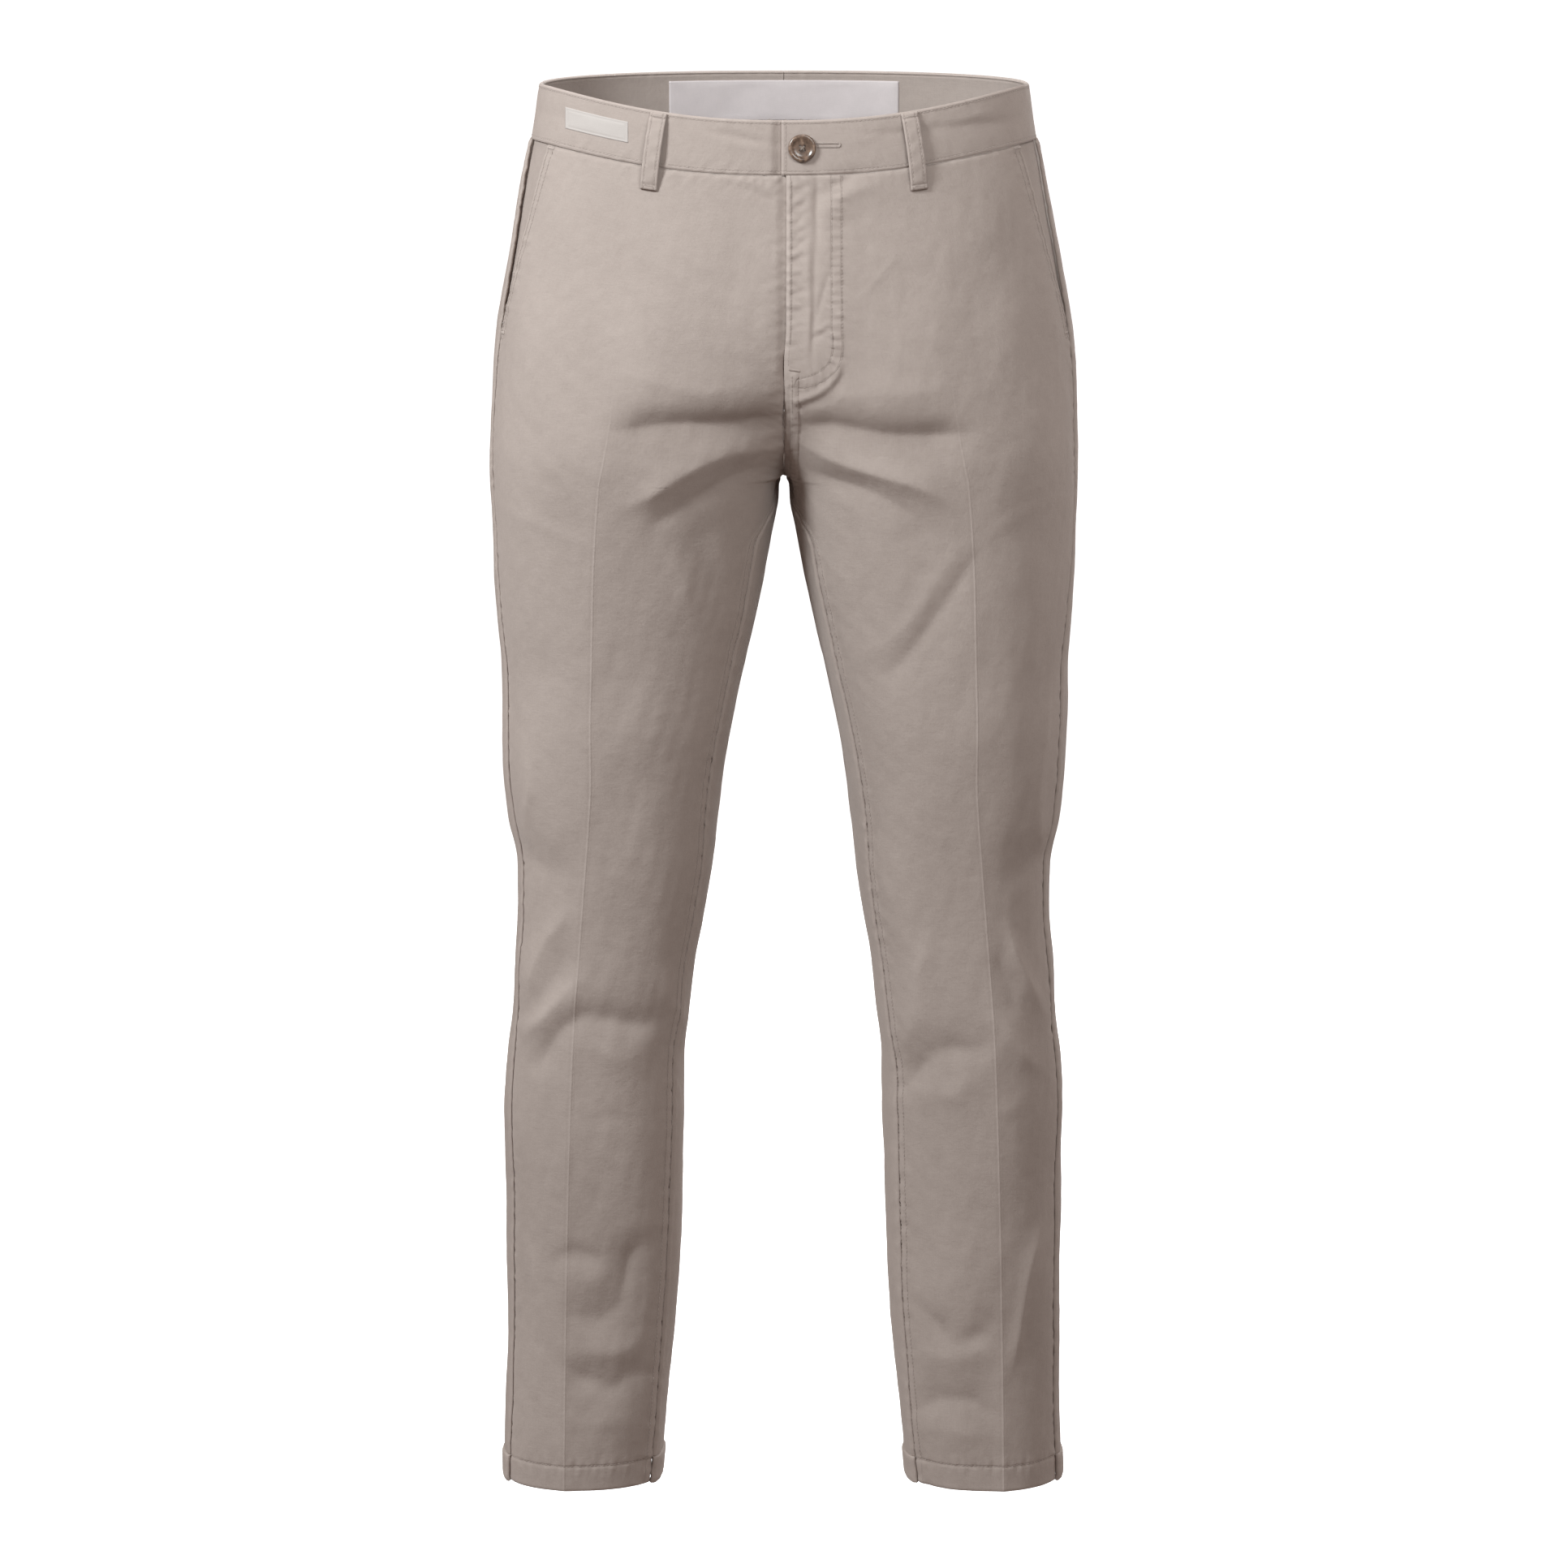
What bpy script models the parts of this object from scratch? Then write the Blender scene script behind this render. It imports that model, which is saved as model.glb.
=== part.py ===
# Pair of chinos, filled out as if worn, with nobody inside.
#
# Metres, +Z up. The origin is the centre of the waist opening, level with its sides. The front
# faces -Y and the wearer's left is +X. "down" is the distance below the waist edge along the cloth.
#
# Each half of the trousers is one stack of closed rings. Above the fork a ring is cut off at the
# middle plane, which gives the front and back rise, and below it the ring is the whole leg. An
# angle of 0 on a ring points to the outer side, and it grows towards the front. Every piece of
# cloth is a patch of that surface, so that neighbours meet edge to edge.

import math

import bmesh
import bpy
import numpy as np
from mathutils import Matrix, Vector

# Cloth and seams
CLOTH = 0.0015
BAND_CLOTH = 0.0026
FACING_CLOTH = 0.0012
GAP = 0.0003
LAP = CLOTH + GAP

# Main sizes
BAND_HEIGHT = 0.0405
FORK_DOWN = 0.287
HEM_DOWN = 1.054
HEM_TURN = 0.019
HEM_RAMP = 0.004
FRONT_DIP = 0.0235
BACK_LIFT = 0.006
TILT_END = 0.260
SQUARENESS = 2.3
SIDE_SHARE = 0.35

# Seams
OUTSEAM_DEGREES = ((0.0, 3.0), (0.18, 11.0), (0.30, 15.0), (0.46, 24.0), (1.06, 25.0))
INSEAM_DEGREES = 31.0
INSEAM_TURN = 0.050
POCKET_REACH = 0.037
POCKET_END = 0.185
FACING_DROP = CLOTH + 0.0008
FACING_UNDER = 0.012
FACING_BEHIND = 0.003
FLY_EDGE = 0.0015
FLY_UNDER = 0.010
FLY_END = 0.216
FLY_RAMP = 0.008
FLY_JOIN = 0.020
FLY_TAPER = 0.030
FLY_CLOSED = FLY_END - FLY_JOIN - 0.002
BAND_OVERLAP_EDGE = 0.002
BAND_UNDERLAP = 0.036

# Creases pressed into each leg
CREASE_START = 0.19
CREASE_FULL = 0.32
CREASE_RISE = 0.0028
CREASE_WIDTH = 0.009
BACK_CREASE_OUT = 0.008

# Grids. Rows lie closer together around each "down" here, at the fork and where the cloth folds.
HIP_ROWS = 20
LEG_ROWS = 34
ROW_CROWDING_COLUMNS = ("down", "spread", "weight")
ROW_CROWDING = (
    (0.288, 0.006, 5.0),
    (0.285, 0.045, 2.4),
    (0.700, 0.050, 1.6),
    (0.955, 0.060, 1.0),
)
FRONT_COLUMNS = 6
BACK_COLUMNS = 9
SIDE_CROWDING = 1.35
BAND_COLUMNS = 26
BAND_ROWS = 3
UNDERLAP_COLUMNS = 4

# Belt loops, labels and button
LOOP_WIDTH = 0.0125
LOOP_TOP = 0.0010
LOOP_END = 0.0585
LOOP_CLOTH = 0.0018
LOOP_STAND = 0.0034
LOOP_SEAT = 0.0006
LOOP_FRONT = 0.0895
LOOP_SIDE = 0.128
LOOP_SPREAD = 0.085
LOOP_ROWS = 12
LABEL_CLOTH = 0.0005
LABEL_INNER = {"left": -0.087, "right": 0.087, "top": 0.007, "bottom": 0.037}
LABEL_OUTER = {"left": -0.158, "right": -0.112, "top": 0.0115, "bottom": 0.0265}
BUTTON_RADIUS = 0.010
BUTTON_THICK = 0.0032
BUTTON_X = 0.013
BUTTON_DOWN = 0.0205
BUTTON_STAND = 0.0005
BUTTON_HOLE_RADIUS = 0.0010
BUTTON_HOLE_OFFSET = 0.0021

# Sections of one half. "outer" and "inner" are the ring's sides across the body: above the fork
# the inner side lies past the middle plane, where the ring is cut off. "crease" is how far out
# the front crease lies.
SECTION_COLUMNS = ("down", "outer", "inner", "front", "back", "crease")
SECTIONS = (
    (0.000, 0.1795, -0.1795, -0.106, 0.106, 0.088),
    (0.028, 0.1833, -0.1810, -0.108, 0.109, 0.092),
    (0.058, 0.1895, -0.1800, -0.111, 0.113, 0.096),
    (0.118, 0.2010, -0.1600, -0.117, 0.126, 0.106),
    (0.178, 0.2110, -0.1120, -0.119, 0.135, 0.116),
    (0.214, 0.2142, -0.0730, -0.118, 0.137, 0.122),
    (0.250, 0.2155, -0.0310, -0.115, 0.134, 0.127),
    (0.272, 0.2158, -0.0090, -0.112, 0.128, 0.131),
    (FORK_DOWN, 0.2158, GAP / 2, -0.109, 0.123, 0.134),
    (0.298, 0.2155, 0.0041, -0.107, 0.119, 0.135),
    (0.323, 0.2145, 0.0086, -0.103, 0.112, 0.137),
    (0.359, 0.2135, 0.0145, -0.098, 0.103, 0.139),
    (0.396, 0.2120, 0.0230, -0.093, 0.098, 0.140),
    (0.432, 0.2095, 0.0320, -0.089, 0.094, 0.141),
    (0.469, 0.2090, 0.0405, -0.086, 0.090, 0.142),
    (0.506, 0.2085, 0.0470, -0.081, 0.085, 0.142),
    (0.543, 0.2050, 0.0510, -0.077, 0.081, 0.144),
    (0.580, 0.1980, 0.0548, -0.073, 0.076, 0.147),
    (0.617, 0.1988, 0.0603, -0.070, 0.074, 0.150),
    (0.654, 0.2022, 0.0673, -0.068, 0.073, 0.153),
    (0.692, 0.2043, 0.0722, -0.066, 0.072, 0.156),
    (0.729, 0.2080, 0.0764, -0.064, 0.071, 0.158),
    (0.780, 0.2102, 0.0775, -0.062, 0.071, 0.160),
    (0.881, 0.2100, 0.0802, -0.059, 0.068, 0.163),
    (0.982, 0.2095, 0.0890, -0.056, 0.062, 0.165),
    (HEM_DOWN, 0.2107, 0.0958, -0.055, 0.058, 0.166),
)

# The largest folds of each face, seen square on: from one end to the other, how far the middle
# bows to the side, the half width, and how far the cloth stands out (or in, where negative).
FOLD_SOFTNESS = 1.2
FOLD_COLUMNS = ("x1", "z1", "x2", "z2", "bow", "width", "rise")
FRONT_FOLDS = (
    # crotch whiskers, wearer's right then left
    (-0.002, -0.244, -0.108, -0.240, 0.001, 0.009, -0.0044),
    (-0.002, -0.258, -0.122, -0.274, 0.001, 0.010, 0.0046),
    (-0.004, -0.268, -0.106, -0.305, -0.005, 0.008, -0.0056),
    (0.009, -0.245, 0.128, -0.254, 0.001, 0.009, -0.0042),
    (0.024, -0.259, 0.134, -0.271, 0.001, 0.010, 0.0044),
    (0.012, -0.270, 0.106, -0.305, 0.004, 0.008, -0.0054),
    # thighs
    (-0.072, -0.298, -0.042, -0.372, 0.004, 0.017, -0.0036),
    (0.138, -0.336, 0.075, -0.421, 0.004, 0.009, -0.0044),
    # knees
    (-0.203, -0.721, -0.157, -0.664, -0.002, 0.009, 0.0046),
    (-0.191, -0.731, -0.108, -0.683, -0.012, 0.009, -0.0050),
    (-0.197, -0.676, -0.170, -0.602, 0.002, 0.008, 0.0036),
    (-0.196, -0.560, -0.158, -0.588, 0.003, 0.010, -0.0030),
    (0.196, -0.566, 0.160, -0.590, -0.003, 0.010, -0.0028),
    (0.104, -0.648, 0.088, -0.722, 0.002, 0.009, 0.0038),
    (0.084, -0.749, 0.154, -0.702, -0.010, 0.009, -0.0050),
    (0.176, -0.640, 0.201, -0.702, -0.002, 0.008, 0.0042),
    (0.168, -0.683, 0.196, -0.735, -0.001, 0.007, 0.0034),
    # shins
    (-0.158, -0.763, -0.114, -0.763, 0.001, 0.009, -0.0032),
    (-0.103, -0.854, -0.137, -0.940, -0.003, 0.011, -0.0042),
    (-0.157, -0.947, -0.101, -0.906, -0.003, 0.009, 0.0042),
    (-0.162, -0.974, -0.105, -0.974, 0.008, 0.008, -0.0040),
    (0.108, -0.930, 0.164, -0.957, 0.001, 0.009, 0.0036),
    (0.104, -0.994, 0.163, -0.997, 0.009, 0.008, -0.0038),
)
BACK_FOLDS = (
    # under the seat
    (-0.012, -0.290, -0.151, -0.320, 0.010, 0.013, -0.0050),
    (0.012, -0.290, 0.151, -0.320, -0.010, 0.013, -0.0050),
    (-0.021, -0.321, -0.119, -0.376, 0.002, 0.012, -0.0036),
    (0.021, -0.321, 0.119, -0.376, -0.002, 0.012, -0.0036),
    # backs of the knees
    (-0.071, -0.577, -0.185, -0.602, 0.006, 0.010, -0.0044),
    (0.071, -0.577, 0.185, -0.602, -0.006, 0.010, -0.0044),
    (-0.080, -0.628, -0.184, -0.616, -0.002, 0.010, 0.0034),
    (0.080, -0.628, 0.184, -0.616, 0.002, 0.010, 0.0034),
    (-0.085, -0.676, -0.187, -0.644, -0.005, 0.010, -0.0044),
    (0.085, -0.676, 0.187, -0.644, 0.005, 0.010, -0.0044),
    # calves
    (-0.108, -0.862, -0.182, -0.894, 0.003, 0.012, -0.0034),
    (0.108, -0.862, 0.182, -0.894, -0.003, 0.012, -0.0034),
)

COLOURS = {
    "cloth": (0.36, 0.29, 0.25, 1.0),
    "button": (0.10, 0.055, 0.035, 1.0),
    "label": (0.62, 0.61, 0.60, 1.0),
}
ROUGHNESS = {"cloth": 0.85, "button": 0.35, "label": 0.7}


# The surface


def monotone(knots, values, at):
    """A smooth curve through the knots that never overshoots them."""
    knots = np.asarray(knots, float)
    values = np.asarray(values, float)
    step = np.diff(knots)
    slope = np.diff(values) / step
    tangent = np.zeros(len(knots))
    same_way = slope[:-1] * slope[1:] > 0
    before = slope[:-1][same_way]
    after = slope[1:][same_way]
    tangent[1:-1][same_way] = 2 * before * after / (before + after)
    tangent[0] = slope[0]
    tangent[-1] = slope[-1]
    at = np.clip(np.asarray(at, float), knots[0], knots[-1])
    index = np.clip(np.searchsorted(knots, at, side="right") - 1, 0, len(step) - 1)
    width = step[index]
    t = (at - knots[index]) / width
    return (
        values[index] * (1 + 2 * t) * (1 - t) ** 2
        + tangent[index] * width * t * (1 - t) ** 2
        + values[index + 1] * t**2 * (3 - 2 * t)
        + tangent[index + 1] * width * t**2 * (t - 1)
    )


def ease(start, end, value):
    """0 before start, 1 after end, smooth between."""
    t = np.clip((np.asarray(value, float) - start) / (end - start), 0, 1)
    return t * t * (3 - 2 * t)


def section(name, down):
    """One column of the section table at a distance down."""
    table = np.array(SECTIONS)
    return monotone(table[:, 0], table[:, SECTION_COLUMNS.index(name)], down)


def ring(down):
    """Centre, half width, front depth, back depth and middle line of the ring."""
    outer = section("outer", down)
    inner = section("inner", down)
    front = section("front", down)
    back = section("back", down)
    middle = SIDE_SHARE * (front + back)
    return (outer + inner) / 2, (outer - inner) / 2, middle - front, back - middle, middle


def angle_at(across, down, face):
    """The ring's angle where it lies at a distance from the middle plane, on one face."""
    centre, half, front, back, _ = ring(down)
    depth = front if face == "front" else back
    along = (across - centre) / half
    rise = depth * np.maximum(0, 1 - np.minimum(1, abs(along)) ** SQUARENESS) ** (1 / SQUARENESS)
    angle = np.arctan2(rise, np.clip(along, -1, 1) * half)
    return angle if face == "front" else -angle


def base_point(side, angle, down):
    """A point of the smooth surface, before any fold."""
    centre, half, front, back, middle = ring(down)
    depth = np.where(np.sin(angle) > 0, front, back)
    across = abs(np.cos(angle) / half) ** SQUARENESS
    through = abs(np.sin(angle) / depth) ** SQUARENESS
    radius = (across + through) ** (-1 / SQUARENESS)
    share = np.clip(radius * np.sin(angle) / depth, -1, 1)
    dip = -FRONT_DIP * np.maximum(share, 0) ** 3
    lift = BACK_LIFT * np.maximum(-share, 0) ** 1.2
    x = side * (centre + radius * np.cos(angle))
    y = middle - radius * np.sin(angle)
    z = -down + (dip + lift) * (1 - ease(0, TILT_END, down))
    return np.stack(np.broadcast_arrays(x, y, z), -1)


def base_normal(side, angle, down):
    """The outward normal of the smooth surface."""
    step = 1e-4
    turn = base_point(side, angle + step, down) - base_point(side, angle - step, down)
    fall = base_point(side, angle, down + step) - base_point(side, angle, down - step)
    normal = np.asarray(side, float)[..., None] * np.cross(turn, fall)
    return normal / np.linalg.norm(normal, axis=-1, keepdims=True)


def folds_at(table, x, z):
    """How far one face's folds move the cloth out at x, z."""
    total = np.zeros(np.shape(x))
    for row in table:
        fold = dict(zip(FOLD_COLUMNS, row))
        run = fold["x2"] - fold["x1"]
        fall = fold["z2"] - fold["z1"]
        length = math.hypot(run, fall)
        along = ((x - fold["x1"]) * run + (z - fold["z1"]) * fall) / length**2
        across = ((z - fold["z1"]) * run - (x - fold["x1"]) * fall) / length
        inside = np.clip(along, 0, 1)
        across = across - 4 * fold["bow"] * inside * (1 - inside)
        fade = ease(-0.12, 0.2, along) * (1 - ease(0.75, 1.12, along))
        near = np.exp(-((across / FOLD_SOFTNESS / fold["width"]) ** 2))
        total = total + fold["rise"] * fade * near
    return total


def crease_at(across, crease, down):
    """The pressed crease, which fades out towards the hip."""
    near = np.exp(-(((across - crease) / CREASE_WIDTH) ** 2))
    return CREASE_RISE * near * ease(CREASE_START, CREASE_FULL, down)


def cloth_point(side, angle, down, depth=0.0):
    """A point of the folded cloth, a distance in from its outer face."""
    point = base_point(side, angle, down)
    normal = base_normal(side, angle, down)
    x = point[..., 0]
    z = point[..., 2]
    front = ease(0.1, 0.5, -normal[..., 1])
    back = ease(0.1, 0.5, normal[..., 1])
    centre = ring(down)[0]
    rise = front * (folds_at(FRONT_FOLDS, x, z) + crease_at(side * x, section("crease", down), down))
    rise = rise + back * (folds_at(BACK_FOLDS, x, z) + crease_at(side * x, centre + BACK_CREASE_OUT, down))
    return point + normal * (rise - depth)[..., None]


# Seams, as angles on the ring


def outseam(down):
    """Where front and back meet at the side."""
    table = np.array(OUTSEAM_DEGREES)
    return np.radians(monotone(table[:, 0], table[:, 1], down))


def inseam(down):
    """Where front and back meet inside the leg, as an angle past the innermost point."""
    return np.radians(INSEAM_DEGREES) * ease(FORK_DOWN, FORK_DOWN + INSEAM_TURN, down)


def half_gap(down):
    """Half a seam's gap as an angle."""
    return GAP / 2 / ring(down)[1]


def front_outer_edge(down):
    """The front's outer edge: the pocket's slanting mouth, then the outseam."""
    left = np.clip((POCKET_END - down) / (POCKET_END - BAND_HEIGHT), 0, 1)
    return outseam(down) + POCKET_REACH * left / ring(down)[1] + half_gap(down)


def front_inner_edge(down, reach):
    """The front's inner edge: the rise at a distance across the middle, then the inseam."""
    rise = angle_at(reach, down, "front")
    seam = math.pi - inseam(down) - half_gap(down)
    return np.minimum(rise, seam)


def back_inner_edge(down):
    """The back's inner edge: the seat seam, then the inseam."""
    rise = angle_at(GAP / 2, down, "back")
    seam = -math.pi - inseam(down) + half_gap(down)
    return np.where(down < FORK_DOWN, np.maximum(rise, -math.pi + half_gap(down)), seam)


# Building


def clear_scene():
    for existing in list(bpy.data.objects):
        bpy.data.objects.remove(existing, do_unlink=True)


def new_collection(name):
    collection = bpy.data.collections.new(name)
    bpy.context.scene.collection.children.link(collection)
    return collection


def new_material(name):
    material = bpy.data.materials.new(name)
    material.use_nodes = True
    shader = material.node_tree.nodes["Principled BSDF"]
    kind = name.split("_")[0]
    shader.inputs["Base Color"].default_value = COLOURS[kind]
    shader.inputs["Roughness"].default_value = ROUGHNESS[kind]
    shader.inputs["Metallic"].default_value = 0.0
    return material


def add_object(name, mesh, kind, collection):
    thing = bpy.data.objects.new(name, mesh)
    thing.data.materials.append(new_material(f"{kind}_{name}"))
    collection.objects.link(thing)
    return thing


def patch(name, rows, columns, place, kind, collection):
    """A closed wall of cloth. place(row, column, inside) gives a point for each grid corner,
    with row and column as whole numbers, and inside 0 on the outer face and 1 on the inner."""
    shape = bmesh.new()
    bmesh.ops.create_grid(shape, x_segments=columns, y_segments=rows, size=0.5)
    wall = bmesh.ops.extrude_face_region(shape, geom=shape.faces[:])
    inner = {item for item in wall["geom"] if isinstance(item, bmesh.types.BMVert)}
    vertices = shape.verts[:]
    row = np.array([round((0.5 - vertex.co.y) * rows) for vertex in vertices])
    column = np.array([round((vertex.co.x + 0.5) * columns) for vertex in vertices])
    inside = np.array([1.0 if vertex in inner else 0.0 for vertex in vertices])
    for vertex, point in zip(vertices, place(row, column, inside)):
        vertex.co = point
    bmesh.ops.recalc_face_normals(shape, faces=shape.faces[:])
    if shape.calc_volume(signed=True) < 0:
        bmesh.ops.reverse_faces(shape, faces=shape.faces[:])
    mesh = bpy.data.meshes.new(name)
    shape.to_mesh(mesh)
    shape.free()
    mesh.shade_smooth()
    mesh.set_sharp_from_angle(angle=math.radians(40))
    return add_object(name, mesh, kind, collection)


def crowded(first, last, count):
    """Distances down from first to last, closer together where the row table says."""
    fine = np.linspace(first, last, 400)
    density = np.ones(len(fine))
    for row in ROW_CROWDING:
        crowd = dict(zip(ROW_CROWDING_COLUMNS, row))
        density += crowd["weight"] * np.exp(-(((fine - crowd["down"]) / crowd["spread"]) ** 2))
    share = np.concatenate([[0.0], np.cumsum(density[1:] + density[:-1])])
    return np.interp(np.linspace(0, share[-1], count + 1), share, fine)


def panel_rows(top):
    """Distances down for a panel's rows, with one level with the fork."""
    hip = crowded(top, FORK_DOWN, HIP_ROWS)
    leg = crowded(FORK_DOWN, HEM_DOWN, LEG_ROWS)
    return np.concatenate([hip, leg[1:]])


def wall_depth(down):
    """The cloth is doubled where the hem turns up."""
    turn = HEM_DOWN - HEM_TURN
    return CLOTH + CLOTH * ease(turn - HEM_RAMP, turn, down)


def spread(column, outer_count, inner_count, first, middle, last):
    """An angle for each column: from first to middle, closer together at the side, where the ring
    is tightest, and then evenly on to last."""
    before = first + (middle - first) * np.minimum(1, column / outer_count) ** SIDE_CROWDING
    after = middle + (last - middle) * (column - outer_count) / inner_count
    return np.where(column <= outer_count, before, after)


def build_front(side, name, reach, collection):
    """A front. reach is how far the rise edge lies past the middle plane, as a function of down.
    The right front has columns of its own at both ends of the step down under the fly edge."""
    rows = panel_rows(BAND_HEIGHT + GAP)
    steps = (FLY_RAMP, GAP) if side < 0 else ()
    inner_columns = FRONT_COLUMNS + len(steps)

    def place(row, column, inside):
        down = rows[row]
        crease = angle_at(section("crease", down), down, "front")
        edge = front_inner_edge(down, reach(down))
        even = spread(column, FRONT_COLUMNS, inner_columns, front_outer_edge(down), crease, edge)
        angle = even
        for index, step in enumerate(steps):
            stepped = angle_at(step - FLY_EDGE, down, "front")
            here = column == FRONT_COLUMNS + inner_columns - len(steps) + index
            angle = np.where(here & (fly_open(down) > 0), stepped, angle)
        point = cloth_point(side, angle, down, inside * wall_depth(down))
        sunk = fly_sink(side, point[..., 0], down)
        point = point - base_normal(side, angle, down) * sunk[..., None]
        on_rise = (column == FRONT_COLUMNS + inner_columns) & (down <= FORK_DOWN)
        across = side * point[..., 0]
        across = np.where(on_rise, np.maximum(across, reach(down)), across)
        point[..., 0] = side * across
        return point

    return patch(name, len(rows) - 1, FRONT_COLUMNS + inner_columns, place, "cloth", collection)


def fly_sink(side, x, down):
    """How far the right front drops to pass under the fly edge."""
    if side > 0:
        return np.zeros(np.shape(x))
    open_part = 1 - ease(FLY_END - FLY_JOIN, FLY_END, down)
    return LAP * open_part * ease(FLY_EDGE - FLY_RAMP, FLY_EDGE - GAP, x)


def fly_open(down):
    """1 along the fly, and 0 where the fronts are sewn edge to edge."""
    return 1 - ease(FLY_CLOSED - FLY_TAPER, FLY_CLOSED, down)


def left_reach(down):
    """The left front's edge: just short of the fly line, then the middle seam."""
    return GAP / 2 + (FLY_EDGE - GAP / 2) * fly_open(down)


def right_reach(down):
    """The right front runs past the middle plane, under the fly edge."""
    return GAP / 2 - (FLY_UNDER + GAP / 2) * fly_open(down)


def build_back(side, name, collection):
    rows = panel_rows(BAND_HEIGHT + GAP)

    def place(row, column, inside):
        down = rows[row]
        crease = angle_at(ring(down)[0] + BACK_CREASE_OUT, down, "back")
        first = outseam(down) - half_gap(down)
        angle = spread(column, BACK_COLUMNS, BACK_COLUMNS, first, crease, back_inner_edge(down))
        point = cloth_point(side, angle, down, inside * wall_depth(down))
        on_rise = (column == 2 * BACK_COLUMNS) & (down <= FORK_DOWN)
        across = np.where(on_rise, np.maximum(side * point[..., 0], GAP / 2), side * point[..., 0])
        point[..., 0] = side * across
        return point

    return patch(name, len(rows) - 1, 2 * BACK_COLUMNS, place, "cloth", collection)


def build_pocket_facing(side, name, collection):
    """The cloth that shows in the slant pocket's mouth, lying under front and back."""
    rows = 9
    columns = 4
    top = BAND_HEIGHT + GAP
    bottom = POCKET_END + 0.010

    def place(row, column, inside):
        down = top + (bottom - top) * row / rows
        first = outseam(down) - FACING_BEHIND / ring(down)[1]
        last = front_outer_edge(down) + FACING_UNDER / ring(down)[1]
        angle = first + (last - first) * column / columns
        return cloth_point(side, angle, down, FACING_DROP + inside * FACING_CLOTH)

    return patch(name, rows, columns, place, "cloth", collection)


def build_band(side, name, collection):
    """Half of the waistband, from the middle of the back to the front closure. The left half
    ends on top, and the right half steps down and runs on under it."""
    step_start = BAND_OVERLAP_EDGE + FLY_RAMP
    step_end = BAND_OVERLAP_EDGE + 2 * GAP

    def place(row, column, inside):
        down = BAND_HEIGHT * row / BAND_ROWS
        back = angle_at(GAP / 2, down, "back")
        if side > 0:
            angle = back + (angle_at(-BAND_OVERLAP_EDGE, down, "front") - back) * column / BAND_COLUMNS
            sunk = np.zeros(np.shape(angle))
        else:
            before = angle_at(step_start, down, "front")
            after = angle_at(step_end, down, "front")
            end = angle_at(-BAND_UNDERLAP, down, "front")
            share = (column - BAND_COLUMNS) / UNDERLAP_COLUMNS
            angle = back + (before - back) * column / (BAND_COLUMNS - 1)
            angle = np.where(column >= BAND_COLUMNS, after + (end - after) * share, angle)
            sunk = np.where(column >= BAND_COLUMNS, BAND_CLOTH + GAP, 0)
        point = cloth_point(side, angle, down, inside * BAND_CLOTH)
        point = point - base_normal(side, angle, down) * sunk[..., None]
        at_back = column == 0
        across = np.where(at_back, np.maximum(side * point[..., 0], GAP / 2), side * point[..., 0])
        point[..., 0] = side * across
        return point

    columns = BAND_COLUMNS if side > 0 else BAND_COLUMNS + UNDERLAP_COLUMNS
    return patch(name, BAND_ROWS, columns, place, "cloth", collection)


def build_loop(name, x, face, collection):
    """A belt loop: a strip that stands off the waistband and is caught at both ends."""
    columns = 2
    half = 1 if x >= 0 else -1
    facing = base_normal(half, angle_at(abs(x), LOOP_TOP, face), LOOP_TOP)
    width = LOOP_WIDTH * abs(facing[1])

    def place(row, column, inside):
        share = row / LOOP_ROWS
        down = LOOP_TOP + (LOOP_END - LOOP_TOP) * share
        across = x * (1 + LOOP_SPREAD * share) + (column / columns - 0.5) * width
        side = np.where(across < 0, -1, 1)
        stand = LOOP_SEAT + LOOP_STAND * np.sin(np.pi * share) ** 0.8
        angle = angle_at(abs(across), down, face)
        return cloth_point(side, angle, down, -stand - LOOP_CLOTH * (1 - inside))

    return patch(name, LOOP_ROWS, columns, place, "cloth", collection)


def build_label(name, size, face, depth, collection):
    """A bare label lying on the waistband."""
    columns = 10
    rows = 2

    def place(row, column, inside):
        down = size["top"] + (size["bottom"] - size["top"]) * row / rows
        x = size["left"] + (size["right"] - size["left"]) * column / columns
        side = np.where(x < 0, -1, 1)
        angle = angle_at(abs(x), down, face)
        return cloth_point(side, angle, down, depth + inside * LABEL_CLOTH)

    return patch(name, rows, columns, place, "label", collection)


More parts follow.
